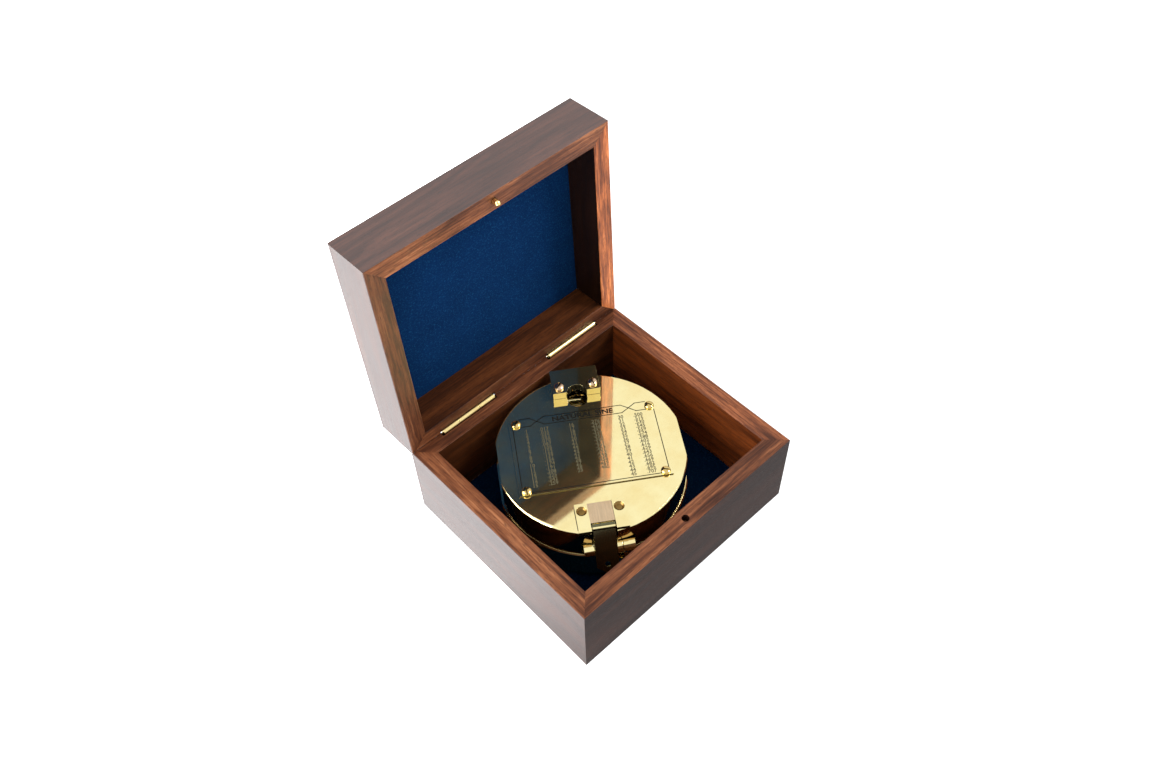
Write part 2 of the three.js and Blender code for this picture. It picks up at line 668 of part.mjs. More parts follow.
// lugs on a foot that is fixed to the outside of the case
function armLugs() {
  const front = ARM_AXIS_Y - LUG_FRONT;
  const back = -CASE_R - RUN_GAP;
  const low = LUG_BOTTOM;
  let solid = block(ARM_X - LUG_OUT, ARM_X + LUG_OUT, front, back, low, CASE_H - 2 * RUN_GAP);
  for (const side of [-1, 1]) {
    const a = ARM_X + side * (ARM_KNUCKLE_HALF + RUN_GAP);
    const b = ARM_X + side * LUG_OUT;
    const [x0, x1] = [Math.min(a, b), Math.max(a, b)];
    solid = solid.add(block(x0, x1, front, back, low, ARM_AXIS_Z));
    solid = solid.add(barrel(ARM_BARREL_R, x0, x1, ARM_AXIS_Y, ARM_AXIS_Z));
  }
  return solid.subtract(barrel(ARM_BORE_R, -CASE_R, CASE_R, ARM_AXIS_Y, ARM_AXIS_Z, SMALL_ROUND));
}

function sightArm() {
  const [x0, x1] = [ARM_X - ARM_HALF, ARM_X + ARM_HALF];
  const [k0, k1] = [ARM_X - ARM_KNUCKLE_HALF, ARM_X + ARM_KNUCKLE_HALF];
  return block(x0, x1, ARM_AXIS_Y, ARM_END, ARM_Z, ARM_Z + ARM_T)
    .add(barrel(ARM_BARREL_R, k0, k1, ARM_AXIS_Y, ARM_AXIS_Z))
    .subtract(block(ARM_X - ARM_SLOT_HALF, ARM_X + ARM_SLOT_HALF, ...ARM_SLOT, 0, LID_TOP))
    .subtract(barrel(ARM_BORE_R, -CASE_R, CASE_R, ARM_AXIS_Y, ARM_AXIS_Z, SMALL_ROUND));
}

function sightArmPin() {
  return barrel(ARM_PIN_R, ARM_X - LUG_OUT, ARM_X + LUG_OUT, ARM_AXIS_Y, ARM_AXIS_Z, SMALL_ROUND);
}

// folded flat on the end of the arm
function sightArmTip() {
  const low = ARM_Z + ARM_T + REST_GAP;
  const [x0, x1] = [ARM_X - TIP_HALF, ARM_X + TIP_HALF];
  const tip = outline([
    [x0, TIP_START], [x1, TIP_START], [x1, TIP_SHOULDER], [ARM_X, TIP_END], [x0, TIP_SHOULDER],
  ]);
  const hole = rod(TIP_HOLE_R, 0, LID_TOP, ARM_X, TIP_HOLE_Y, SMALL_ROUND);
  return raised(tip, low, low + TIP_T).subtract(hole);
}

// ---------------------------------------------------------------- compass lid

function compassLidShell() {
  const steps = 3;
  const edge = Array.from({ length: steps + 1 }, (_, i) => {
    const a = (i / steps) * (Math.PI / 2);
    return [LID_R - LID_EDGE_R + LID_EDGE_R * Math.cos(a), LID_TOP - LID_EDGE_R + LID_EDGE_R * Math.sin(a)];
  });
  const outer = turned([[0, LID_BOTTOM], [LID_R, LID_BOTTOM], ...edge, [0, LID_TOP]]);
  const inner = rod(LID_R - LID_WALL, LID_BOTTOM - CUT, LID_TOP - LID_PLATE_T, 0, 0, LARGE_ROUND);
  const body = outer.intersect(slab(LID_FLAT, 0, LID_TOP + CUT));
  const hollow = inner.intersect(slab(LID_FLAT - LID_WALL, 0, LID_TOP));
  const farTop = AXIS_Z + BARREL_R + 2 * RUN_GAP;
  const farNotch = block(BLOCK_X - NOTCH_HALF, BLOCK_X + NOTCH_HALF, NOTCH_FROM, LID_R + CUT, 0, farTop);
  const nearTop = ARM_AXIS_Z + ARM_BARREL_R + 2 * RUN_GAP;
  const nearHalf = LUG_OUT + 2 * RUN_GAP;
  const nearNotch = block(ARM_X - nearHalf, ARM_X + nearHalf, -LID_R - CUT, -NOTCH_FROM, 0, nearTop);
  const slotSides = [BRACKET_X - FLAP_SLOT_HALF, BRACKET_X + FLAP_SLOT_HALF];
  const flapSlot = block(...slotSides, -LID_R - CUT, FLAP_SLOT_FROM, nearTop - CUT, LID_TOP + CUT);
  let solid = body.subtract(hollow).subtract(farNotch).subtract(nearNotch).subtract(flapSlot);
  solid = solid.subtract(rod(WINDOW_R, WINDOW_FROM, LID_TOP + CUT, BLOCK_X, WINDOW_Y, MEDIUM_ROUND));
  for (const [x, y] of plateScrewPlaces()) {
    solid = solid.subtract(rod(PLATE_HOLE_R, WINDOW_FROM, LID_TOP + CUT, x, y, SMALL_ROUND));
  }
  return solid;
}

function compassMirror() {
  const high = LID_TOP - LID_PLATE_T - REST_GAP;
  return rod(MIRROR_R, high - MIRROR_T, high, 0, 0, LARGE_ROUND)
    .subtract(rod(WINDOW_R + RUN_GAP, 0, LID_TOP, BLOCK_X, WINDOW_Y, MEDIUM_ROUND));
}

// block on the lid with a half-round notch, and a leg down the back to the hinge
function lidHingeBlock() {
  const low = LID_TOP + REST_GAP;
  const high = low + BLOCK_T;
  let solid = block(BLOCK_X - BLOCK_HALF, BLOCK_X + BLOCK_HALF, BLOCK_FRONT, BLOCK_BACK, low, high);
  solid = solid.add(block(BLOCK_X - LEG_HALF, BLOCK_X + LEG_HALF, LEG_IN, LEG_OUT, AXIS_Z, high));
  solid = solid.add(barrel(BARREL_R, BLOCK_X - LEG_HALF, BLOCK_X + LEG_HALF, AXIS_Y, AXIS_Z));
  solid = solid.subtract(rod(WINDOW_R, WINDOW_FROM, high + CUT, BLOCK_X, WINDOW_Y, MEDIUM_ROUND));
  solid = solid.subtract(barrel(BARREL_BORE_R, -CASE_R, CASE_R, AXIS_Y, AXIS_Z, SMALL_ROUND));
  for (const side of [-1, 1]) {
    const x = BLOCK_X + side * BLOCK_SCREW_X;
    const bottom = high - BLOCK_SCREW_HOLE_DEPTH;
    solid = solid.subtract(rod(BLOCK_SCREW_HOLE_R, bottom, high + CUT, x, BLOCK_SCREW_Y, SMALL_ROUND));
  }
  return solid;
}

function blockScrew(side) {
  const high = LID_TOP + REST_GAP + BLOCK_T + REST_GAP;
  const slotAngle = side > 0 ? 75 : 20;
  return screw(BLOCK_SCREW, BLOCK_X + side * BLOCK_SCREW_X, BLOCK_SCREW_Y, high, slotAngle);
}

function plateScrewPlaces() {
  const [x, y] = PLATE_SCREW_AT;
  const [x0, y0] = PLATE_AT;
  return [[-x, y], [x, y], [x, -y], [-x, -y]].map(([dx, dy]) => [x0 + dx, y0 + dy]);
}

function tablePlate() {
  const low = LID_TOP + REST_GAP;
  const [x, y] = PLATE_AT;
  const sides = [x - PLATE_HALF_X, x + PLATE_HALF_X, y - PLATE_HALF_Y, y + PLATE_HALF_Y];
  let solid = block(...sides, low, low + PLATE_T);
  for (const place of plateScrewPlaces()) {
    solid = solid.subtract(rod(PLATE_HOLE_R, low - CUT, LID_TOP + 2 * CUT, ...place, SMALL_ROUND));
  }
  return solid;
}

// two riveted tabs that hold the flap's pin, joined by a thinner strip
function sightBracket() {
  const low = LID_TOP + REST_GAP;
  const top = low + TAB_T;
  let solid = block(BRACKET_X - TAB_OUT, BRACKET_X + TAB_OUT, STRIP_FRONT, TAB_BACK, low, low + STRIP_T);
  for (const side of [-1, 1]) {
    const [a, b] = [BRACKET_X + side * TAB_IN, BRACKET_X + side * TAB_OUT];
    const inner = [[0, low - CUT], [RIVET_R, low - CUT], [RIVET_R, low + SINK_FROM]];
    const outer = [[SINK_R, top], [SINK_R, top + CUT], [0, top + CUT]];
    const sink = turned([...inner, ...outer], SMALL_ROUND, ...bracketHole(side));
    solid = solid.add(block(Math.min(a, b), Math.max(a, b), TAB_FRONT, TAB_BACK, low, top)).subtract(sink);
  }
  return solid.subtract(barrel(FLAP_BORE_R, -CASE_R, CASE_R, FLAP_AXIS_Y, FLAP_AXIS_Z, SMALL_ROUND));
}

function bracketHole(side) {
  return [BRACKET_X + side * RIVET_X, RIVET_Y];
}

// countersunk rivet, its head well below the top of the tab
function bracketRivet(side) {
  const low = LID_TOP + REST_GAP;
  return turned([[0, low + 0.05], [0.85, low + 0.05], [0.85, low + 0.45], [1.3, low + 0.9], [0, low + 0.75]],
    SMALL_ROUND, ...bracketHole(side));
}

// pointed leaf that hangs from its pin over the near end of the case
function peepFlap() {
  const half = FLAP_HALF;
  const length = FLAP_LENGTH;
  const point = FLAP_POINT;
  const shape = outline([
    [-half, FLAP_HEAD], [-half, -length + point], [-1, -length],
    [1, -length], [half, -length + point], [half, FLAP_HEAD],
  ]);
  const hole = new THREE.Path();
  hole.absarc(0, -length + point + 1, FLAP_HOLE_R, 0, 2 * Math.PI, false);
  shape.holes.push(hole);
  const extrusion = { depth: FLAP_T, bevelEnabled: false, curveSegments: 12 };
  const geometry = new THREE.ExtrudeGeometry(shape, extrusion);
  geometry.translate(0, 0, -FLAP_T / 2);
  geometry.rotateX(Math.PI / 2);
  const leaf = solidOf(geometry).add(barrel(FLAP_BARREL_R, -half, half, 0, 0, SMALL_ROUND));
  const bored = leaf.subtract(barrel(FLAP_BORE_R, -half - CUT, half + CUT, 0, 0, SMALL_ROUND));
  const tilt = THREE.MathUtils.radToDeg(FLAP_TILT);
  return bored.rotate([-tilt, 0, 0]).translate([BRACKET_X, FLAP_AXIS_Y, FLAP_AXIS_Z]);
}

function flapPin() {
  return barrel(FLAP_PIN_R, BRACKET_X - TAB_OUT, BRACKET_X + TAB_OUT, FLAP_AXIS_Y, FLAP_AXIS_Z, SMALL_ROUND);
}

// ---------------------------------------------------------------- assembly

function compass() {
  const group = new THREE.Group();
  const pieces = [
    ['case_body', caseBody(), BRASS],
    ['case_hinge_knuckle', caseHingeKnuckle(), BRASS],
    ['compass_hinge_pin', compassHingePin(), DARK_BRASS],
    ['dial_base_plate', dialBasePlate(), DARK_BRASS],
    ['dial_ring', dialRing(), DIAL],
    ['cover_glass', coverGlass(), GLASS],
    ['glass_ring', glassRing(), BRASS],
    ['needle', needle(), STEEL],
    ['needle_cap', needleCap(), BRASS],
    ['pivot_post', pivotPost(), STEEL],
    ['lifter_lever', lifterLever(), BRASS],
    ['lifter_pin', lifterPin(), BRASS],
    ['clinometer_arm', clinometerArm(), BRASS],
    ['clinometer_shaft', clinometerShaft(), BRASS],
    ['clinometer_lever', clinometerLever(), BRASS],
    ['tube_level_holder', tubeLevelHolder(), BRASS],
    ['tube_level_vial', tubeLevelVial(), VIAL],
    ['round_level_cup', roundLevelCup(), BRASS],
    ['round_level_glass', roundLevelGlass(), VIAL],
    ['sight_arm_lugs', armLugs(), BRASS],
    ['sight_arm', sightArm(), BRASS],
    ['sight_arm_pin', sightArmPin(), DARK_BRASS],
    ['sight_arm_tip', sightArmTip(), BRASS],
    ['compass_lid_shell', compassLidShell(), BRASS],
    ['compass_mirror', compassMirror(), MIRROR],
    ['lid_hinge_block', lidHingeBlock(), BRASS],
    ['block_screw_left', blockScrew(-1), BRASS],
    ['block_screw_right', blockScrew(1), BRASS],
    ['sine_table_plate', tablePlate(), BRASS],
    ['sight_bracket', sightBracket(), BRASS],
    ['bracket_rivet_left', bracketRivet(-1), DARK_BRASS],
    ['bracket_rivet_right', bracketRivet(1), DARK_BRASS],
    ['peep_flap', peepFlap(), BRASS],
    ['peep_flap_pin', flapPin(), DARK_BRASS],
  ];
  for (const [name, solid, look] of pieces) group.add(named(name, solid, look));
  const slotAngles = [65, 10, 110, 40];
  plateScrewPlaces().forEach(([x, y], i) => {
    const z = LID_TOP + PLATE_T + 2 * REST_GAP;
    group.add(named(`plate_screw_${i + 1}`, screw(PLATE_SCREW, x, y, z, slotAngles[i]), BRASS));
  });
  group.rotation.z = COMPASS_TURN;
  group.position.set(COMPASS_X, COMPASS_Y, COMPASS_Z);
  return group;
}

// the lid group turns about the hinge axis, so its pieces are moved back by that axis
function openLid(pieces) {
  const swing = new THREE.Group();
  const offset = new THREE.Group();
  offset.position.set(0, -HINGE_Y, -HINGE_Z);
  offset.add(...pieces);
  swing.position.set(0, HINGE_Y, HINGE_Z);
  swing.rotation.x = -BOX_OPEN;
  swing.add(offset);
  return swing;
}

const part = new THREE.Group();
const lidPieces = [boxLid()];
part.add(boxBase());
HINGE_X.forEach((centre, i) => {
  const side = i === 0 ? 'left' : 'right';
  part.add(named(`hinge_${side}_base_leaf`, boxHingeLeaf(centre, false), BRASS));
  part.add(named(`hinge_${side}_pin`, boxHingePin(centre), DARK_BRASS));
  lidPieces.push(named(`hinge_${side}_lid_leaf`, boxHingeLeaf(centre, true), BRASS));
});
part.add(openLid(lidPieces));
part.add(compass());

export default part;
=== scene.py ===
import json
import math

import bmesh
import bpy
from mathutils import Matrix, Vector, noise


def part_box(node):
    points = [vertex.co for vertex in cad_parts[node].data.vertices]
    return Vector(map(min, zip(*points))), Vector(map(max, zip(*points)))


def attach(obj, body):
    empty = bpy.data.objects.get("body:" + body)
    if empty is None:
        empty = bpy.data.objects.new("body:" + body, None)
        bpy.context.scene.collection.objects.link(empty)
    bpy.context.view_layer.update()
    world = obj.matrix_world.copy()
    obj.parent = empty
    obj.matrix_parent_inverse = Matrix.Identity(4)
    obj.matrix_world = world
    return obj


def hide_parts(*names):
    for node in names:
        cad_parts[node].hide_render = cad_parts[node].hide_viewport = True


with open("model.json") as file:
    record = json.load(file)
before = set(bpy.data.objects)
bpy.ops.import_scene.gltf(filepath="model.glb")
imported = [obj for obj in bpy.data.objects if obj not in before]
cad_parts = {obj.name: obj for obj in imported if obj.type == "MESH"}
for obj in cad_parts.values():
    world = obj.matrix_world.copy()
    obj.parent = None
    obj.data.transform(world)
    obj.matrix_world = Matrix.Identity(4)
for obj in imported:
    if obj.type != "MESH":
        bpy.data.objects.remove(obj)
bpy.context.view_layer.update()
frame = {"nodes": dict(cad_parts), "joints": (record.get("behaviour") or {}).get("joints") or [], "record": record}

# Meshes and objects are in metres. The tables for the box, the compass and their materials are in
# millimetres, and those for the camera, the floor and the lights in metres.
MM = 0.001

JOINTS = {joint["name"]: joint for joint in frame["joints"]}


# ---------------------------------------------------------------- frames

def compass_frame():
    """The compass's own frame: +X across, +Y towards its lid hinge, z = 0 under its case."""
    across = -Vector(JOINTS["compass_lid"]["axis"]).normalized()
    along = Vector((-across.y, across.x, 0))
    centre = Vector(JOINTS["needle_spin"]["pos_m"])
    centre.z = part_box("case_body")[0].z
    return Matrix((
        (across.x, along.x, 0, centre.x),
        (across.y, along.y, 0, centre.y),
        (0, 0, 1, centre.z),
        (0, 0, 0, 1),
    ))


def lid_frame():
    """Where the closed box lid's frame stands when the lid is open, as it is at rest."""
    joint = JOINTS["box_lid"]
    pivot = Matrix.Translation(Vector(joint["pos_m"]))
    swing = Matrix.Rotation(-math.radians(joint["range_deg"][0]), 4, Vector(joint["axis"]))
    return pivot @ swing @ pivot.inverted()


COMPASS = compass_frame()
LID = lid_frame()
BOX = Matrix.Identity(4)


# ---------------------------------------------------------------- shader nodes

class Look:
    """One material's node tree, with short calls for the nodes that the looks share."""

    def __init__(self, name):
        self.material = bpy.data.materials.new(name)
        self.material.use_nodes = True
        self.tree = self.material.node_tree
        self.tree.nodes.clear()
        self.coord = self.add("TexCoord").outputs["Object"]

    def add(self, kind, inputs=None, **settings):
        node = self.tree.nodes.new("ShaderNode" + kind)
        for key, value in settings.items():
            setattr(node, key, value)
        for key, value in (inputs or {}).items():
            if isinstance(value, bpy.types.NodeSocket):
                self.tree.links.new(value, node.inputs[key])
            else:
                node.inputs[key].default_value = value
        return node

    def space(self, stretch, shift=(0, 0, 0), turn=0.0):
        """Object coordinates, with each axis in units of stretch millimetres."""
        turned = self.add("Mapping", {"Vector": self.coord, "Rotation": (0, 0, turn)})
        scale = tuple(1 / (MM * s) for s in stretch)
        inputs = {"Vector": turned.outputs["Vector"], "Scale": scale, "Location": shift}
        return self.add("Mapping", inputs).outputs["Vector"]

    def noise(self, vector, detail=3.0, roughness=0.55, distortion=0.0):
        inputs = {
            "Vector": vector, "Scale": 1.0, "Detail": detail,
            "Roughness": roughness, "Distortion": distortion,
        }
        return self.add("TexNoise", inputs).outputs["Fac"]

    def ramp(self, fac, stops):
        """A colour ramp with a stop for each (place, colour)."""
        node = self.add("ValToRGB", {"Fac": fac})
        elements = node.color_ramp.elements
        while len(elements) < len(stops):
            elements.new(0.5)
        for element, (place, color) in zip(elements, stops):
            element.position = place
            element.color = (*color, 1.0)
        return node.outputs["Color"]

    def grey(self, fac, low, high, start=0.0, end=1.0):
        """A number that runs from low to high as fac runs from start to end."""
        inputs = {"Value": fac, "From Min": start, "From Max": end, "To Min": low, "To Max": high}
        return self.add("MapRange", inputs).outputs["Result"]

    def math(self, operation, a, b):
        return self.add("Math", {0: a, 1: b}, operation=operation).outputs["Value"]

    def mix(self, fac, a, b):
        """Colour a turning into colour b. The Mix node's colour sockets are numbers 6 and 7."""
        node = self.add("Mix", data_type="RGBA")
        for index, value in ((0, fac), (6, a), (7, b)):
            if isinstance(value, bpy.types.NodeSocket):
                self.tree.links.new(value, node.inputs[index])
            else:
                node.inputs[index].default_value = value if index == 0 else (*value, 1.0)
        return node.outputs[2]

    def bump(self, height, distance, strength=1.0, normal=None):
        """A normal for a relief that is distance millimetres deep, on top of normal."""
        inputs = {"Height": height, "Distance": distance * MM, "Strength": strength}
        if normal is not None:
            inputs["Normal"] = normal
        return self.add("Bump", inputs).outputs["Normal"]

    def surface(self, **inputs):
        """The finished material: a Principled shader with these sockets set."""
        named = {key.replace("_", " "): value for key, value in inputs.items()}
        shader = self.add("BsdfPrincipled", named)
        self.add("OutputMaterial", {"Surface": shader.outputs["BSDF"]})
        return self.material


# ---------------------------------------------------------------- wood

PORE_DARKNESS = 0.7
PORE_DEPTH = 0.03
# how dark or pale each wood's figure is: (place, colour) stops
DARK_WOOD = [
    (0.25, (0.008, 0.0030, 0.0025)),
    (0.45, (0.026, 0.0095, 0.007)),
    (0.60, (0.052, 0.019, 0.0125)),
    (0.78, (0.090, 0.034, 0.021)),
]
RAW_WOOD = [
    (0.34, (0.028, 0.0085, 0.004)),
    (0.45, (0.090, 0.027, 0.011)),
    (0.55, (0.200, 0.066, 0.026)),
    (0.68, (0.420, 0.165, 0.070)),
]
INNER_WOOD = [
    (0.25, (0.010, 0.0030, 0.0012)),
    (0.42, (0.050, 0.0145, 0.0045)),
    (0.60, (0.135, 0.040, 0.011)),
    (0.78, (0.240, 0.080, 0.026)),
]


def grain_stretch(axis, along, across):
    """How long and how wide, in millimetres, a pattern is when the grain runs along an axis."""
    return tuple(along if i == axis else across for i in range(3))


def times(color, factor):
    """A colour times factor, which is one number or one for each channel."""
    scale = factor if isinstance(factor, tuple) else (factor,) * 3
    return tuple(c * k for c, k in zip(color, scale))


def toned(tones, factor):
    """Every colour of a ramp's stops times factor."""
    return [(place, times(color, factor)) for place, color in tones]


def wood(name, tones, axis, shift, roughness, specular):
    """Open-grained hardwood: broad colour bands, fine streaks and short dark pores."""
    look = Look(name)
    bands = look.noise(look.space(grain_stretch(axis, 55, 6), shift), 4.0, 0.5, 0.8)
    streaks = look.noise(look.space(grain_stretch(axis, 20, 0.8), shift), 3.0, 0.65, 0.4)
    pores = look.noise(look.space(grain_stretch(axis, 3.0, 0.20), shift), 1.0, 0.5)
    figure = look.math("ADD", look.math("MULTIPLY", bands, 0.52), look.math("MULTIPLY", streaks, 0.48))
    color = look.ramp(figure, tones)
    pore = look.grey(pores, 1.0, 0.0, 0.30, 0.44)
    color = look.mix(look.math("MULTIPLY", pore, PORE_DARKNESS), color, tones[0][1])
    height = look.math("SUBTRACT", look.math("MULTIPLY", streaks, 0.4), pore)
    return look.surface(
        Base_Color=color,
        Roughness=look.grey(streaks, roughness - 0.06, roughness + 0.1),
        Specular_IOR_Level=specular,
        Normal=look.bump(height, PORE_DEPTH, 0.6),
    )


# ---------------------------------------------------------------- metals, glass and felt

BRASS_COLOR = (0.98, 0.87, 0.47)
OLD_BRASS_COLOR = (0.62, 0.46, 0.20)
BRASS_STAIN = (0.93, 0.86, 0.74)
HAIRLINE_DEPTH = 0.0006
BRUSHED_DEPTH = 0.03
BRUSH_ANGLE = 0.588
LEAN_TOWARDS = (0.41, 0.47) # across the floor, towards the open lid
PLATE_LEAN = 0.075


def dished(look, normal, wave, lean):
    """The normal of a surface with polishing ripples wave millimetres deep, tilted by lean radians."""
    if wave:
        swell = look.noise(look.space((24, 24, 24)), 1.0, 0.4)
        normal = look.bump(swell, wave, normal=normal)
    if lean:
        towards = Vector((*LEAN_TOWARDS, 0)).normalized() * -lean
        slope = look.add("VectorMath", {0: look.coord, 1: towards}, operation="DOT_PRODUCT")
        normal = look.bump(slope.outputs["Value"], 1 / MM, normal=normal)
    return normal


def brass(name, color, roughness, brush=None, wave=0.0, lean=0.0, haze=0.0):
    """Polished brass with fine hairlines, or brushed brass whose lines run at the angle brush.

    wave and lean are the depth of its polishing ripples and how far it tilts, and haze is how dull
    it is.
    """
    look = Look(name)
    stain = look.noise(look.space((9, 9, 9)), 4.0, 0.6)
    spots = look.noise(look.space((1.1, 1.1, 1.1)), 2.0, 0.5)
    tint = look.mix(look.grey(stain, 0.0, 0.9, 0.35, 0.75), color, times(color, BRASS_STAIN))
    if brush is None:
        lines = look.noise(look.space((0.35, 9, 9), turn=0.5), 2.0, 0.6)
        depth = HAIRLINE_DEPTH
    else:
        lines = look.noise(look.space((0.30, 14, 14), turn=brush), 3.0, 0.8)
        depth = BRUSHED_DEPTH
        tint = look.mix(look.grey(lines, 0.0, 0.6, 0.4, 0.65), tint, times(color, 0.7))
    streaky = look.grey(lines, roughness - 0.02, roughness + 0.01)
    return look.surface(
        Base_Color=tint,
        Metallic=look.grey(stain, 1.0 - haze, 1.0 - 2 * haze, 0.3, 0.7),
        Roughness=look.math("ADD", look.grey(spots, 0.0, 0.02), streaky),
        Normal=dished(look, look.bump(lines, depth), wave, lean),
    )


def steel(name, color):
    """Ground steel."""
    look = Look(name)
    lines = look.noise(look.space((0.2, 8, 8), turn=0.3), 2.0, 0.6)
    return look.surface(
        Base_Color=look.mix(look.grey(lines, 0.0, 1.0, 0.3, 0.8), color, times(color, 0.8)),
        Metallic=1.0,
        Roughness=look.grey(lines, 0.14, 0.24),
        Normal=look.bump(lines, 0.003),
    )


FELT_TONES = [(0.3, (0.0001, 0.0125, 0.056)), (0.7, (0.0003, 0.0160, 0.070))]
FELT_FLECK = (0.008, 0.075, 0.190)
FELT_SHADOW = (0.0003, 0.004, 0.018)
FELT_DEPTH = 0.12


def felt(name, shade=1.0):
    """Pressed wool felt: matted fibres and pale flecks, every colour darkened by shade as painted shade."""
    look = Look(name)
    fibres = look.noise(look.space((0.42, 0.42, 0.42)), 3.0, 0.7, 1.2)
    flecks = look.noise(look.space((0.62, 0.62, 0.62), (7, 3, 1)), 2.0, 0.6, 1.0)
    patches = look.noise(look.space((14, 14, 14)), 3.0, 0.5)
    base = look.ramp(patches, toned(FELT_TONES, shade))
    fleck = look.grey(flecks, 0.0, 1.0, 0.52, 0.66)
    color = look.mix(look.math("MULTIPLY", fleck, 0.38), base, times(FELT_FLECK, shade))
    dark = look.grey(fibres, 0.35, 0.0, 0.3, 0.55)
    color = look.mix(dark, color, times(FELT_SHADOW, shade))
    return look.surface(
        Base_Color=color,
        Roughness=1.0,
        Specular_IOR_Level=0.05,
        Sheen_Weight=0.04,
        Sheen_Roughness=0.5,
        Sheen_Tint=(0.15, 0.4, 1.0, 1.0),
        Normal=look.bump(fibres, FELT_DEPTH),
    )


def enamel(name, color):
    """Filling in engraved lines and figures."""
    look = Look(name)
    grain = look.noise(look.space((0.4, 0.4, 0.4)), 2.0)
    paler = tuple(min(1.0, c * 1.5 + 0.002) for c in color)
    return look.surface(
        Base_Color=look.mix(look.grey(grain, 0.0, 0.8, 0.4, 0.8), color, paler),
        Roughness=look.grey(grain, 0.35, 0.55),
        Specular_IOR_Level=0.08,
    )


def silvered(name):
    """Silvered brass with a fine mottle."""
    look = Look(name)
    mottle = look.noise(look.space((3, 3, 3)), 3.0)
    return look.surface(
        Base_Color=look.ramp(mottle, [(0.3, (0.62, 0.60, 0.54)), (0.7, (0.80, 0.78, 0.72))]),
        Metallic=0.6,
        Roughness=look.grey(mottle, 0.35, 0.5),
        Normal=look.bump(mottle, 0.004),
    )


def glass(name, tint):
    """Clear glass, or glass with a tinted liquid, with slight smears."""
    look = Look(name)
    smear = look.noise(look.space((12, 12, 12)), 3.0)
    return look.surface(
        Base_Color=(*tint, 1.0),
        Roughness=look.grey(smear, 0.0, 0.03),
        IOR=1.5,
        Transmission_Weight=1.0,
    )


def mirror(name):
    """Silvered glass, seen from its bright side."""
    look = Look(name)
    haze = look.noise(look.space((6, 6, 6)), 3.0)
    return look.surface(
        Base_Color=look.ramp(haze, [(0.3, (0.80, 0.82, 0.83)), (0.7, (0.90, 0.91, 0.92))]),
        Metallic=1.0,
        Roughness=look.grey(haze, 0.01, 0.03),
    )


LOOKS = {
    "brass": brass("brass_polished", BRASS_COLOR, 0.06),
    "plate": brass("brass_plate", BRASS_COLOR, 0.045, wave=0.006, lean=PLATE_LEAN, haze=0.013),
    # a darker copy of brass for the shell's upright sides: painted dark reflection of the box's inside
    "wall": brass("brass_wall", (0.52, 0.36, 0.17), 0.08),
    "block": brass("brass_block", (0.84, 0.74, 0.40), 0.08, lean=PLATE_LEAN, haze=0.012),
    "brushed": brass("brass_brushed", (0.72, 0.54, 0.35), 0.20, brush=BRUSH_ANGLE),
    "satin": brass("brass_satin", (0.17, 0.165, 0.095), 0.20, brush=BRUSH_ANGLE),
    # dark brown brass for the rivets and their countersinks: painted shade in the holes
    "rivet": brass("brass_rivet_painted_shade", (0.26, 0.165, 0.055), 0.30),
    "screw": brass("brass_screw", (0.74, 0.56, 0.22), 0.16),
    "pale_screw": brass("brass_screw_pale", (0.62, 0.47, 0.34), 0.22),
    # near-black brass for side faces and screw slots: painted shade
    "edge": brass("brass_painted_shade", (0.085, 0.058, 0.018), 0.32),
    "hinge": brass("brass_hinge", (0.93, 0.76, 0.36), 0.10),
    "old": brass("brass_old", OLD_BRASS_COLOR, 0.18),
    "steel": steel("steel_blued", (0.33, 0.36, 0.42)),
    "felt": felt("felt_navy"),
    # the floor's felt is the same felt darkened: painted shade inside the box
    "shaded_floor_felt": felt("felt_navy_floor_painted_shade", 0.42),
    "ink": enamel("engraving_black", (0.006, 0.0055, 0.0045)),
    "figure_ink": enamel("engraving_worn", (0.070, 0.062, 0.036)),
    "red": enamel("engraving_red", (0.35, 0.02, 0.015)),
    "silver": silvered("dial_silvered"),
    "glass": glass("glass_clear", (1.0, 1.0, 1.0)),
    "vial": glass("glass_spirit", (0.72, 0.85, 0.30)),
    "mirror": mirror("mirror_glass"),
}


# ---------------------------------------------------------------- making pieces

def piece(name, bm, body, materials, nodes, matrix=None, sharp=35.0):
    """A smooth-shaded mesh object from bm, riding on a CAD body, for the CAD nodes it replaces."""
    mesh = bpy.data.meshes.new(name)
    for face in bm.faces:
        face.smooth = True
    bm.to_mesh(mesh)
    bm.free()
    mesh.set_sharp_from_angle(angle=math.radians(sharp))
    for material in materials:
        mesh.materials.append(material)
    obj = bpy.data.objects.new(name, mesh)
    bpy.context.scene.collection.objects.link(obj)
    if matrix is not None:
        obj.matrix_world = matrix
    weighted = obj.modifiers.new("even_normals", "WEIGHTED_NORMAL")
    weighted.keep_sharp = True
    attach(obj, body)
    if nodes:
        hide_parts(*nodes)
    return obj


JOIN_WITHIN = 1e-6 # metres
FLAT_WITHIN = 0.6 # degrees
ROUNDED_ABOVE = 28.0 # degrees


def cad_mesh(node):
    """A CAD node's mesh with its corners joined and its flat faces merged."""
    bm = bmesh.new()
    bm.from_mesh(frame["nodes"][node].data)
    bmesh.ops.remove_doubles(bm, verts=bm.verts, dist=JOIN_WITHIN)
    flat = math.radians(FLAT_WITHIN)
    bmesh.ops.dissolve_limit(bm, angle_limit=flat, verts=bm.verts, edges=bm.edges)
    return bm


def round_edges(bm, width, segments=2, keep=None):
    """Rounds the edges of a mesh, apart from those for which keep(edge) is true."""
    chosen = [
        edge for edge in bm.edges
        if edge.calc_face_angle(0.0) > math.radians(ROUNDED_ABOVE) and not (keep and keep(edge))
    ]
    bmesh.ops.bevel(
        bm, geom=chosen, offset=width * MM, segments=segments, profile=0.5,
        affect="EDGES", clamp_overlap=True,
    )


def body_of(node):
    """The CAD body that a node is part of."""
    for body, members in frame["record"]["behaviour"]["bodies"].items():
        if node in members:
            return body
    raise KeyError(node)


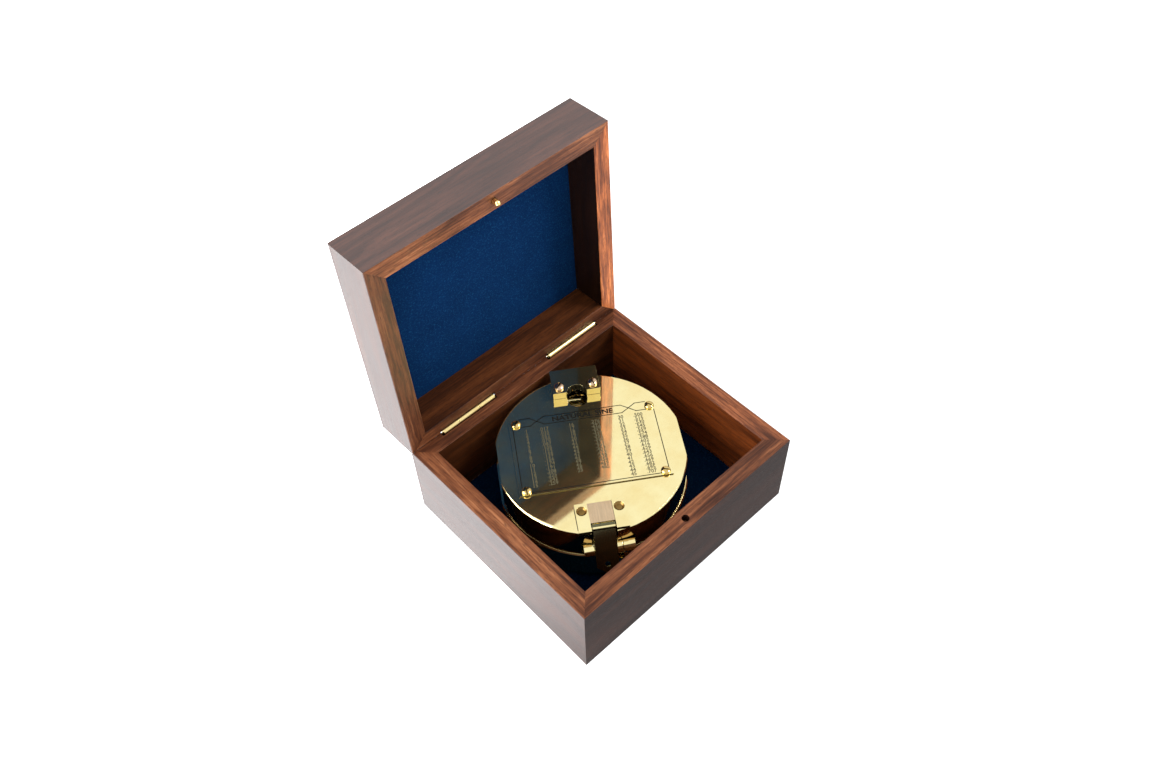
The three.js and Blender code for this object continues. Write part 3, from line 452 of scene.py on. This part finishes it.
def finished(node, look, width, second=None, chosen=None):
    """A CAD node taken over with rounded edges; faces that chosen(face) picks have a second look."""
    bm = cad_mesh(node)
    for face in bm.faces:
        face.material_index = 1 if chosen and chosen(face) else 0
    round_edges(bm, width)
    looks = [LOOKS[look]] + ([LOOKS[second]] if second else [])
    piece(f"{node}_finish", bm, body_of(node), looks, [node])


# ---------------------------------------------------------------- box

# the axis that each wall's grain runs along, and the way that its outer face looks
WALL_AXIS = {"front": 0, "back": 0, "left": 1, "right": 1}
OUTWARD = {"front": (0, -1, 0), "back": (0, 1, 0), "left": (-1, 0, 0), "right": (1, 0, 0)}
OUTER, RIM, INNER = 0, 1, 2
# each board is cut from its own plank, and toned as painted light and shade: how pale its outer face is,
# how glossy that is, and how pale its rim and its inner face are, paler where light falls and darker in shade
BOARD_LIGHT_AND_SHADE = {
    # the base's front wall: its outer face darker, as painted shade
    "base_front_wall": (0.55, 0.03, 0.66, 1.0),
    "base_back_wall": (0.8, 0.3, 0.70, 0.6),
    "base_left_wall": (1.0, 0.2, 0.68, 0.8),
    # the base's right wall: its rim and inner face paler, as painted light
    "base_right_wall": (0.8, 0.3, 1.25, (1.5, 1.2, 0.9)),
    "lid_front_wall": (1.3, 1.0, 0.95, 0.6),
    "lid_back_wall": (1.0, 0.3, 0.70, 0.75),
    "lid_left_wall": (1.0, 0.2, 0.55, 0.6),
    # the lid's right wall: its rim paler as painted light, its inner face near black as painted shadow
    "lid_right_wall": (1.0, 0.3, (2.4, 2.1, 1.6), 0.12),
}
PANEL_SHIFT = (2.0, 9.0, 4.0)
EDGE_ROUND = 0.35
MITRE_CLOSE = 0.05 # the glued mitres are drawn closed
HINGE_SHARP = 2.5 # edges this near the hinge line stay square


def is_mitre(face, turn_back):
    """Whether a face is cut at 45 degrees across the end of its board."""
    n = turn_back @ face.normal
    return abs(abs(n.x) - abs(n.y)) < 0.02 and abs(n.x) > 0.6


def by_hinge(edge):
    """Whether an edge of the box is near the hinge line."""
    middle = (edge.verts[0].co + edge.verts[1].co) / 2
    off = middle - Vector(JOINTS["box_lid"]["pos_m"])
    return math.hypot(off.y, off.z) < HINGE_SHARP * MM


def close_mitres(bm, axis, placed, turn_back):
    """Makes a board longer at both ends by MITRE_CLOSE, along its axis in the box's own frame."""
    mitre_verts = {vert for face in bm.faces if is_mitre(face, turn_back) for vert in face.verts}
    for vert in mitre_verts:
        place = turn_back @ vert.co
        place[axis] += math.copysign(MITRE_CLOSE * MM, place[axis])
        vert.co = placed.to_3x3() @ place


def board_face(normal, outward, rim_up):
    """Which of a board's three looks a face has, by its normal in the box's own frame."""
    if normal.z * rim_up > 0.5:
        return RIM
    if normal.dot(Vector(outward)) < -0.5:
        return INNER
    return OUTER


def board_looks(node, axis):
    """The three woods of a board whose grain runs along an axis, at its own place in the plank, toned with the
    board's painted light and shade.
    """
    shift = (3.1 * sum(map(ord, node)) % 17, 1.7 * len(node), 5.3 * axis)
    outer, gloss, rim, inner = BOARD_LIGHT_AND_SHADE[node]
    return [
        wood(f"{node}_outer", toned(DARK_WOOD, outer), axis, shift, 0.34, gloss),
        wood(f"{node}_rim", toned(RAW_WOOD, rim), axis, shift, 0.42, 0.22),
        wood(f"{node}_inner", toned(INNER_WOOD, inner), axis, shift, 0.45, 0.15),
    ]


def board(node, side, placed, rim_up):
    """A mitred wall with lacquered outer faces, a paler rim and a darker inner face."""
    axis = WALL_AXIS[side]
    turn_back = placed.to_3x3().inverted()
    bm = cad_mesh(node)
    close_mitres(bm, axis, placed, turn_back)

    def stays_sharp(edge):
        return by_hinge(edge) or any(is_mitre(face, turn_back) for face in edge.link_faces)

    round_edges(bm, EDGE_ROUND, 3, stays_sharp)
    for face in bm.faces:
        face.material_index = board_face(turn_back @ face.normal, OUTWARD[side], rim_up)
    # the open lid's side walls stand up, so their grain does too
    grain = 2 if placed is LID and axis == 1 else axis
    looks = board_looks(node, grain)
    piece(f"{node}_board", bm, body_of(node), looks, [node], sharp=40.0)


def panel(node, up, placed):
    """The lid's top or the base's floor, with a different wood inside the box."""
    turn_back = placed.to_3x3().inverted()
    bm = cad_mesh(node)
    round_edges(bm, EDGE_ROUND)
    for face in bm.faces:
        inside = (turn_back @ face.normal).z * up > 0.5
        face.material_index = 1 if inside else 0
    looks = [
        wood(f"{node}_outer", DARK_WOOD, 0, PANEL_SHIFT, 0.34, 0.30),
        wood(f"{node}_inner", INNER_WOOD, 0, PANEL_SHIFT, 0.5, 0.15),
    ]
    piece(f"{node}_board", bm, body_of(node), looks, [node])


FELT_STEP = 1.6
FELT_SWELL = 0.07
FELT_PATCHES = 60 # how many swellings there are in a metre
FELT_EDGE_DROP = 0.35
FELT_DIP = 0.06


def felt_height(x, y, at_edge):
    """How far the felt's face is swollen at a point, or rolled down where it was cut."""
    swell = noise.noise(Vector((x, y, 0.3)) * FELT_PATCHES) * FELT_SWELL * MM
    drop = FELT_EDGE_DROP * MM if at_edge else FELT_DIP * MM
    return swell - drop


def felt_face(low, high, facing):
    """The grid of faces of a felt's upper side, which looks up when facing is 1."""
    width, length = high.x - low.x, high.y - low.y
    nx, ny = round(width / (FELT_STEP * MM)), round(length / (FELT_STEP * MM))
    face_z = high.z if facing > 0 else low.z
    bm = bmesh.new()
    grid = []
    for j in range(ny + 1):
        row = []
        for i in range(nx + 1):
            x = low.x + width * i / nx
            y = low.y + length * j / ny
            at_edge = i in (0, nx) or j in (0, ny)
            row.append(bm.verts.new((x, y, face_z + facing * felt_height(x, y, at_edge))))
        grid.append(row)
    for j in range(ny):
        for i in range(nx):
            loop = [grid[j][i], grid[j][i + 1], grid[j + 1][i + 1], grid[j + 1][i]]
            bm.faces.new(loop if facing > 0 else loop[::-1])
    return bm


def open_edges(bm):
    """The edges with a face on one side only."""
    return [edge for edge in bm.edges if len(edge.link_faces) == 1]


def close_sheet(bm, back_z):
    """Adds the cut sides and the flat back at height back_z."""
    sides = bmesh.ops.extrude_edge_only(bm, edges=open_edges(bm))["geom"]
    for vert in sides:
        if isinstance(vert, bmesh.types.BMVert):
            vert.co.z = back_z
    bmesh.ops.contextual_create(bm, geom=open_edges(bm))
    bmesh.ops.recalc_face_normals(bm, faces=bm.faces)


def felt_sheet(node, look, placed, facing):
    """A sheet of felt glued to a panel: its face swells slightly and its cut edges roll down."""
    corners = [placed.inverted() @ v.co for v in frame["nodes"][node].data.vertices]
    low = Vector([min(c[i] for c in corners) for i in range(3)])
    high = Vector([max(c[i] for c in corners) for i in range(3)])
    bm = felt_face(low, high, facing)
    close_sheet(bm, low.z if facing > 0 else high.z)
    cloth = piece(f"{node}_sheet", bm, body_of(node), [LOOKS[look]], [node], placed, 60.0)


def make_box():
    """The wooden box with its linings, its hinges and its catch pin."""
    for side in WALL_AXIS:
        board(f"base_{side}_wall", side, BOX, 1)
        board(f"lid_{side}_wall", side, LID, -1)
    panel("base_floor_panel", 1, BOX)
    panel("lid_top_panel", -1, LID)
    felt_sheet("base_felt_lining", "shaded_floor_felt", BOX, 1)
    felt_sheet("lid_felt_lining", "felt", LID, -1)
    for side in ("left", "right"):
        for part in ("base_leaf", "lid_leaf", "pin"):
            finished(f"hinge_{side}_{part}", "hinge", 0.1)
    finished("lid_catch_pin", "hinge", 0.08)


# ---------------------------------------------------------------- compass

def top_of(node):
    """How high a node's top is above the compass's underside, in millimetres."""
    return (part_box(node)[1].z - COMPASS.translation.z) / MM


def flat_mesh(outlines, z):
    """Flat faces at height z from outlines of [x, y] points in millimetres."""
    bm = bmesh.new()
    for points in outlines:
        bm.faces.new([bm.verts.new((x * MM, y * MM, z * MM)) for x, y in points])
    for face in bm.faces:
        if face.normal.z < 0:
            face.normal_flip()
    return bm


def stroke(points, width):
    """Outlines of a line of some width through points."""
    half = width / 2
    out = []
    for (x0, y0), (x1, y1) in zip(points, points[1:]):
        dx, dy = x1 - x0, y1 - y0
        size = math.hypot(dx, dy)
        ux, uy = dx / size * half, dy / size * half
        a, b = (x0 - ux, y0 - uy), (x1 + ux, y1 + uy)
        out.append([
            (a[0] + uy, a[1] - ux), (b[0] + uy, b[1] - ux),
            (b[0] - uy, b[1] + ux), (a[0] - uy, a[1] + ux),
        ])
    return out


TABLE_X = -0.3 # the engraving is centred on the plate
TABLE_HALF = 28.5
TABLE_LOW = -16.0
BANNER_Y = 17.1
BANNER_HALF = 1.95
CROSS_X = 18.6
BANNER_END = 15.6
TAG_IN, TAG_OUT = 21.4, 25.6
SIDE_FROM, SIDE_TO = 14.7, -13.5
FOOT_END = 25.2
LINE_W = 0.34
HEADING_X = -0.4
HEADING_SIZE = 3.1
HEADING_SQUEEZE = 1.18
HEADING_BOLD = 0.09
ENAMEL_LIFT = 0.012 # how far the filling stands out of its lines


def table_lines():
    """The border, the banner and the two small tags that it crosses into."""
    top, low = BANNER_Y + BANNER_HALF, BANNER_Y - BANNER_HALF
    lines = [[(-BANNER_END, top), (BANNER_END, top)], [(-BANNER_END, low), (BANNER_END, low)]]
    for s in (-1, 1):
        for near, far in ((top, low), (low, top)):
            lines.append([
                (s * BANNER_END, near), (s * CROSS_X, BANNER_Y),
                (s * TAG_IN, far), (s * TAG_OUT, far),
            ])
        lines.append([(s * TABLE_HALF, SIDE_FROM), (s * TABLE_HALF, SIDE_TO)])
    lines.append([(-FOOT_END, TABLE_LOW), (FOOT_END, TABLE_LOW)])
    outlines = []
    for points in lines:
        outlines += stroke([(TABLE_X + x, y) for x, y in points], LINE_W)
    return outlines


CAPITAL_MIDDLE = 0.35 # of the letters' size, above the line that they stand on
LETTER_BOLD = 0.05


def lettering(name, lines, x, y, size, pitch, squeeze, bold=LETTER_BOLD):
    """Text as a flat mesh in metres, one row under another, its first row centred on y."""
    curve = bpy.data.curves.new(name, "FONT")
    curve.body = "\n".join(lines)
    curve.size = size * MM
    curve.align_x = "CENTER"
    curve.align_y = "TOP_BASELINE"
    curve.space_line = pitch / size
    curve.offset = bold * MM
    curve.resolution_u = 2
    text = bpy.data.objects.new(name, curve)
    bpy.context.scene.collection.objects.link(text)
    bpy.context.view_layer.update()
    mesh = bpy.data.meshes.new_from_object(text.evaluated_get(bpy.context.evaluated_depsgraph_get()))
    bpy.data.objects.remove(text)
    bpy.data.curves.remove(curve)
    narrow = Matrix.Diagonal((squeeze, 1, 1, 1))
    mesh.transform(Matrix.Translation((x * MM, (y - CAPITAL_MIDDLE * size) * MM, 0)) @ narrow)
    return mesh


FIGURE_SIZE = 2.35
FIGURE_SQUEEZE = 0.94
TABLE_COLUMNS = [
    # first and last degree, x of the degrees, x of the sines, y of the first row, row pitch
    (1, 15, -23.6, -16.6, 12.9, 1.86),
    (16, 29, -5.6, 4.0, 12.9, 1.70),
    (30, 45, 14.4, 21.4, 13.2, 1.84),
]


def sine_text(degree):
    """The natural sine to three places, without its leading nought."""
    return f"{math.sin(math.radians(degree)):.3f}"[1:]


def table_figures(z):
    """The table's columns of degrees and their sines."""
    made = []
    for first, last, x_deg, x_sin, y, pitch in TABLE_COLUMNS:
        degrees = [str(d) for d in range(first, last + 1)]
        sines = [sine_text(d) for d in range(first, last + 1)]
        made.append(lettering("degrees", degrees, x_deg, y, FIGURE_SIZE, pitch, FIGURE_SQUEEZE))
        made.append(lettering("sines", sines, x_sin, y, FIGURE_SIZE, pitch, FIGURE_SQUEEZE))
    return flattened(made, z)


def flattened(meshes, z):
    """The flat meshes joined at height z millimetres."""
    bm = bmesh.new()
    for mesh in meshes:
        bm.from_mesh(mesh)
        bpy.data.meshes.remove(mesh)
    for vert in bm.verts:
        vert.co.z = z * MM
    return bm


def engraved(name, bm, body, look):
    """Filled engraving in the compass's frame, which stands for no CAD node."""
    piece(name, bm, body, [LOOKS[look]], [], COMPASS)


def table_plate():
    """The engraved plate, with its lines and figures filled."""
    # the plate's upright sides take the near-black brass: painted shade
    finished("sine_table_plate", "plate", 0.04, "edge", is_side)
    z = top_of("sine_table_plate") + ENAMEL_LIFT
    heading = lettering(
        "heading", ["NATURAL SINE"], HEADING_X, BANNER_Y,
        HEADING_SIZE, HEADING_SIZE, HEADING_SQUEEZE, HEADING_BOLD,
    )
    engraved("table_lines", flat_mesh(table_lines(), z), "compass_lid", "ink")
    engraved("table_heading", flattened([heading], z), "compass_lid", "ink")
    engraved("table_figures", table_figures(z), "compass_lid", "figure_ink")


NODE_FINISH = [
    # node, look, slot, edge rounding
    ("case_body", "brass", "compass_brass", 0.4),
    ("case_hinge_knuckle", "brass", "compass_brass", 0.15),
    ("compass_hinge_pin", "old", "compass_brass", 0.1),
    ("dial_base_plate", "old", "compass_brass", 0.08),
    ("dial_ring", "silver", "dial_silvered", 0.08),
    ("cover_glass", "glass", "clear_glass", 0.08),
    ("glass_ring", "brass", "compass_brass", 0.08),
    ("needle", "steel", "needle_steel", 0.06),
    ("needle_cap", "brass", "compass_brass", 0.06),
    ("pivot_post", "steel", "needle_steel", 0.03),
    ("lifter_lever", "brass", "compass_brass", 0.08),
    ("lifter_pin", "brass", "compass_brass", 0.08),
    ("clinometer_arm", "brass", "compass_brass", 0.08),
    ("clinometer_shaft", "brass", "compass_brass", 0.08),
    ("clinometer_lever", "brass", "compass_brass", 0.15),
    ("tube_level_holder", "brass", "compass_brass", 0.1),
    ("tube_level_vial", "vial", "level_glass", 0.1),
    ("round_level_cup", "brass", "compass_brass", 0.1),
    ("round_level_glass", "vial", "level_glass", 0.08),
    ("sight_arm_lugs", "brass", "compass_brass", 0.15),
    ("sight_arm", "brass", "compass_brass", 0.12),
    ("sight_arm_pin", "old", "compass_brass", 0.1),
    ("sight_arm_tip", "brass", "compass_brass", 0.1),
    ("compass_mirror", "mirror", "mirror_glass", 0.08),
    ("lid_hinge_block", "block", "compass_brass", 0.2),
    # the rivets sunk in their countersinks are dark: painted shade
    ("bracket_rivet_left", "rivet", "compass_brass", 0.06),
    ("bracket_rivet_right", "rivet", "compass_brass", 0.06),
    ("peep_flap_pin", "old", "compass_brass", 0.08),
]


def is_side(face):
    """Whether a face of the closed compass stands upright."""
    return abs(face.normal.z) < 0.5


BRACKET_ROUND = 0.06
STRIP_DEPTH = 0.3 # how far the strip lies below the tabs, at least
# the sides and the countersink cones take dark looks: painted shade
TAB, STRIP, SIDE, CONE = range(4)


def bracket_face(face, step):
    """Which look a face of the sight bracket has; its strip lies lower than step."""
    up = face.normal.z
    if 0.05 < up < 0.9:
        return CONE
    if up > 0.9 and face.calc_center_median().z < step:
        return STRIP
    return SIDE if is_side(face) else TAB


def sight_bracket():
    """Polished tabs with sides darkened as painted shade, countersinks darkened as painted shade, and a strip
    between them left with its brushed finish.
    """
    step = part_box("sight_bracket")[1].z - STRIP_DEPTH * MM
    bm = cad_mesh("sight_bracket")
    for face in bm.faces:
        face.material_index = bracket_face(face, step)
    round_edges(bm, BRACKET_ROUND)
    looks = [LOOKS[name] for name in ("brass", "brushed", "edge", "rivet")]
    piece("sight_bracket_finish", bm, "compass_lid", looks, ["sight_bracket"])


SCREW_SIDES = 32
SCREW_RINGS = 6
SCREW_HEADS = [
    # node, look, angle of its slot in degrees
    ("block_screw_left", "pale_screw", 20),
    ("block_screw_right", "pale_screw", 75),
    ("plate_screw_1", "screw", 35),
    ("plate_screw_2", "screw", 110),
    ("plate_screw_3", "screw", 130),
    ("plate_screw_4", "screw", 60),
]
SLOT_HALF = 0.24
SLOT_DEPTH = 0.3
SLOT_SIDE = 0.02 # half the thickness of the slot's sloping sides
SLOT_BELOW = 0.3 # faces down to this far below the slot's floor take its dark look, which is painted shade
# all as parts of the head's radius
HEAD_HEIGHT = 0.6
SHANK_RADIUS = 0.45
# as a part of the head's height
DOME_SHARE = 0.75


def screw_profile(radius, length):
    """Radius and height of a screw's outline from its foot to the top of its head, which is at 0."""
    height = radius * HEAD_HEIGHT
    shank = radius * SHANK_RADIUS
    profile = [(shank, -length), (shank, -height), (radius, -height), (radius, -height * DOME_SHARE)]
    for i in range(1, SCREW_RINGS):
        a = math.pi / 2 * i / SCREW_RINGS
        profile.append((radius * math.cos(a), height * (DOME_SHARE * math.sin(a) - DOME_SHARE)))
    return profile


def lathed(profile):
    """A closed mesh turned from profile, with its last ring closed by a point at height 0."""
    bm = bmesh.new()
    turn = [2 * math.pi * i / SCREW_SIDES for i in range(SCREW_SIDES)]
    rings = [[bm.verts.new((r * math.cos(a), r * math.sin(a), z)) for a in turn] for r, z in profile]
    for ring, following in zip(rings, rings[1:]):
        for i in range(SCREW_SIDES):
            k = (i + 1) % SCREW_SIDES
            bm.faces.new([ring[i], ring[k], following[k], following[i]])
    bm.faces.new(rings[0][::-1])
    tip = bm.verts.new((0, 0, 0))
    for i in range(SCREW_SIDES):
        bm.faces.new([rings[-1][i], rings[-1][(i + 1) % SCREW_SIDES], tip])
    return bm


def cut_slot(bm, angle):
    """Presses the band across the head down to the slot's floor."""
    side = Vector((-math.sin(angle), math.cos(angle), 0))
    for offset in (-SLOT_HALF, SLOT_HALF):
        for nudge in (-SLOT_SIDE, SLOT_SIDE):
            geom = bm.verts[:] + bm.edges[:] + bm.faces[:]
            plane = side * ((offset + nudge) * MM)
            bmesh.ops.bisect_plane(bm, geom=geom, plane_co=plane, plane_no=side)
    floor = -SLOT_DEPTH * MM
    for vert in bm.verts:
        across = abs(vert.co.dot(side)) / MM
        if across < SLOT_HALF and floor < vert.co.z:
            vert.co.z = floor
    # the slot's faces take the dark look: painted shade
    for face in bm.faces:
        middle = face.calc_center_median()
        inside = abs(middle.dot(side)) / MM < SLOT_HALF + SLOT_SIDE
        face.material_index = 1 if inside and middle.z > floor - SLOT_BELOW * MM else 0


def domed_screw(node, look, slot_degrees):
    """A round-headed screw: a lathed dome with a slot across it, darkened as painted shade."""
    low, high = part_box(node)
    middle = (low + high) / 2
    bm = lathed(screw_profile((high.x - low.x) / 2, high.z - low.z))
    cut_slot(bm, math.radians(slot_degrees))
    place = Matrix.Translation((middle.x, middle.y, high.z))
    looks = [LOOKS[look], LOOKS["edge"]]
    piece(f"{node}_finish", bm, body_of(node), looks, [node], place)


def make_compass():
    """Every part of the compass, and its markings."""
    for node, look, slot, width in NODE_FINISH:
        finished(node, look, width)
    for node, look, slot_degrees in SCREW_HEADS:
        domed_screw(node, look, slot_degrees)
    # the shell's upright sides take the darker brass: painted dark reflection
    finished("compass_lid_shell", "plate", 0.3, "wall", is_side)
    # the flap's upward faces take polished brass: a painted highlight on its dark satin
    finished("peep_flap", "satin", 0.12, "brass", lambda face: face.normal.z > 0.7)
    sight_bracket()
    table_plate()
    dial_markings()


DIAL_SEAT_DEPTH = 2.0 # from the ring's rim down to its dial face
DIAL_MARK_OUT = 32.3
TICKS = [
    # every so many degrees, inner radius, line width
    (1, 31.0, 0.10),
    (5, 30.3, 0.14),
    (10, 29.6, 0.20),
]
DIAL_NUMBER_R = 28.6
DIAL_NUMBER_SIZE = 1.7
DIAL_NUMBER_SQUEEZE = 0.9
DIAL_NUMBER_BOLD = 0.02
# clockwise from the top: west and east change places on a dial that turns under its needle
POINTS = {"N": 0, "W": 90, "S": 180, "E": 270}
POINTS_R = 21.0
POINTS_SIZE = 5.0
MARK_LIFT = 0.02 # how far the dial's marks stand out of it


def around(mesh, radius, degrees):
    """A mesh moved out to radius and round the dial."""
    turn = Matrix.Rotation(-math.radians(degrees), 4, "Z")
    mesh.transform(turn @ Matrix.Translation((0, radius * MM, 0)))
    return mesh


def degree_lines():
    """Outlines of the dial's degree lines."""
    outlines = []
    for step, inner, width in TICKS:
        for degrees in range(0, 360, step):
            a = math.radians(degrees)
            ends = [(r * math.sin(a), r * math.cos(a)) for r in (inner, DIAL_MARK_OUT)]
            outlines += stroke(ends, width)
    return outlines


def around_dial(name, text, degrees, radius, size, squeeze, bold):
    """One mark of the dial, which reads upright when it is turned to the top."""
    return around(lettering(name, [text], 0, 0, size, size, squeeze, bold), radius, degrees)


def dial_markings():
    """Degree lines and numbers on the dial ring, and the four points on the plate inside it."""
    body = body_of("dial_ring")
    ring_z = top_of("dial_ring") - DIAL_SEAT_DEPTH + MARK_LIFT
    plate_z = top_of("dial_base_plate") + MARK_LIFT
    number_style = (DIAL_NUMBER_R, DIAL_NUMBER_SIZE, DIAL_NUMBER_SQUEEZE, DIAL_NUMBER_BOLD)
    numbers = [around_dial("dial", str(d), d, *number_style) for d in range(0, 360, 10)]
    point_style = (POINTS_R, POINTS_SIZE, 1.0, LETTER_BOLD)
    points = [around_dial("point", letter, d, *point_style) for letter, d in POINTS.items()]
    engraved("dial_degree_lines", flat_mesh(degree_lines(), ring_z), body, "ink")
    engraved("dial_numbers", flattened(numbers, ring_z), body, "ink")
    engraved("dial_points", flattened(points, plate_z), body, "red")


# ---------------------------------------------------------------- camera, floor and light

CAMERA_PLACE = (-0.16980, -0.18115, 0.38786)
CAMERA_RIGHT = (0.7311004, -0.6817571, -0.0264473)
CAMERA_DOWN = (-0.5450504, -0.5603050, -0.6236813)
CAMERA_FORWARD = (0.4103806, 0.4703888, -0.7812312)
CAMERA_LENS = 34.44


def make_camera():
    """The photograph's viewing place and direction."""
    data = bpy.data.cameras.new("camera")
    data.lens = CAMERA_LENS
    data.sensor_width = 36
    data.clip_start = 0.01
    data.clip_end = 20
    camera = bpy.data.objects.new("camera", data)
    columns = [Vector(CAMERA_RIGHT), -Vector(CAMERA_DOWN), -Vector(CAMERA_FORWARD)]
    turn = Matrix(columns).transposed().to_4x4()
    camera.matrix_world = Matrix.Translation(CAMERA_PLACE) @ turn
    bpy.context.scene.collection.objects.link(camera)
    bpy.context.scene.camera = camera


FLOOR_HALF = 4.0
FLOOR_GAP = 0.0003 # how far the floor lies under the box
FLOOR_ALBEDO = 0.28
FLOOR_PAINTED_LIGHT = [
    # how far along the camera's right, in metres, and how bright the floor glows there: painted window light
    (-0.40, 5.0),
    (-0.05, 3.3),
    (0.00, 1.0),
    (0.40, 0.78),
]


def floor_glow(look):
    """The floor's glow, which paints the window's light on it: strongest on the window's side."""
    turn = math.atan2(-CAMERA_RIGHT[1], CAMERA_RIGHT[0])
    across = look.add("Mapping", {"Vector": look.coord, "Rotation": (0, 0, turn)}).outputs["Vector"]
    place = look.add("SeparateXYZ", {"Vector": across}).outputs["X"]
    first, last = FLOOR_PAINTED_LIGHT[0][0], FLOOR_PAINTED_LIGHT[-1][0]
    most = max(glow for _, glow in FLOOR_PAINTED_LIGHT)
    stops = [((x - first) / (last - first), (glow / most,) * 3) for x, glow in FLOOR_PAINTED_LIGHT]
    level = look.ramp(look.grey(place, 0.0, 1.0, first, last), stops)
    return look.math("MULTIPLY", level, most)


def make_floor():
    look = Look("floor_paper")
    tooth = look.noise(look.space((1.5, 1.5, 1.5)), 3.0)
    paper_tones = [(0.3, (0.90, 0.91, 0.93)), (0.7, (0.93, 0.94, 0.95))]
    paper = look.surface(
        Base_Color=look.ramp(tooth, toned(paper_tones, FLOOR_ALBEDO)),
        Roughness=0.9,
        Specular_IOR_Level=0.1,
        # the floor glows unevenly: painted light from the window
        Emission_Color=(0.98, 0.99, 1.0, 1.0),
        Emission_Strength=floor_glow(look),
    )
    bm = bmesh.new()
    bmesh.ops.create_grid(bm, x_segments=8, y_segments=8, size=FLOOR_HALF)
    mesh = bpy.data.meshes.new("floor")
    bm.to_mesh(mesh)
    bm.free()
    mesh.materials.append(paper)
    floor = bpy.data.objects.new("floor", mesh)
    floor.location.z = -FLOOR_GAP
    bpy.context.scene.collection.objects.link(floor)


AREA_LIGHTS = [
    # name, place, size across and up, watts, colour
    ("window_left", (-0.75, 0.35, 0.55), (0.9, 0.9), 16.0, (1.0, 0.99, 0.97)),
    ("fill_right", (0.7, -0.5, 0.8), (0.45, 0.45), 11.0, (1.0, 0.98, 0.95)),
]


def make_lights():
    """Area lights that look at the box."""
    for name, place, (width, height), watts, color in AREA_LIGHTS:
        data = bpy.data.lights.new(name, "AREA")
        data.shape = "RECTANGLE"
        data.size = width
        data.size_y = height
        data.energy = watts
        data.color = color
        lamp = bpy.data.objects.new(name, data)
        lamp.location = place
        lamp.rotation_euler = (-Vector(place)).to_track_quat("-Z", "Y").to_euler()
        bpy.context.scene.collection.objects.link(lamp)


SKY_LEVELS = (1.0, 0.99) # brightness at the two ends of its gradient


def make_sky():
    """White light from all round. A sky that varies, even slightly, is sampled with less noise."""
    world = bpy.data.worlds.new("studio")
    world.use_nodes = True
    nodes = world.node_tree.nodes
    background = nodes["Background"]
    background.inputs["Color"].default_value = (1.0, 1.0, 1.0, 1.0)
    gradient = nodes.new("ShaderNodeTexGradient")
    level = nodes.new("ShaderNodeMapRange")
    level.inputs["To Min"].default_value = SKY_LEVELS[0]
    level.inputs["To Max"].default_value = SKY_LEVELS[1]
    world.node_tree.links.new(gradient.outputs["Fac"], level.inputs["Value"])
    world.node_tree.links.new(level.outputs["Result"], background.inputs["Strength"])
    bpy.context.scene.world = world
    bpy.context.scene.view_settings.view_transform = "Standard"


make_camera()
make_floor()
make_lights()
make_sky()
make_box()
make_compass()
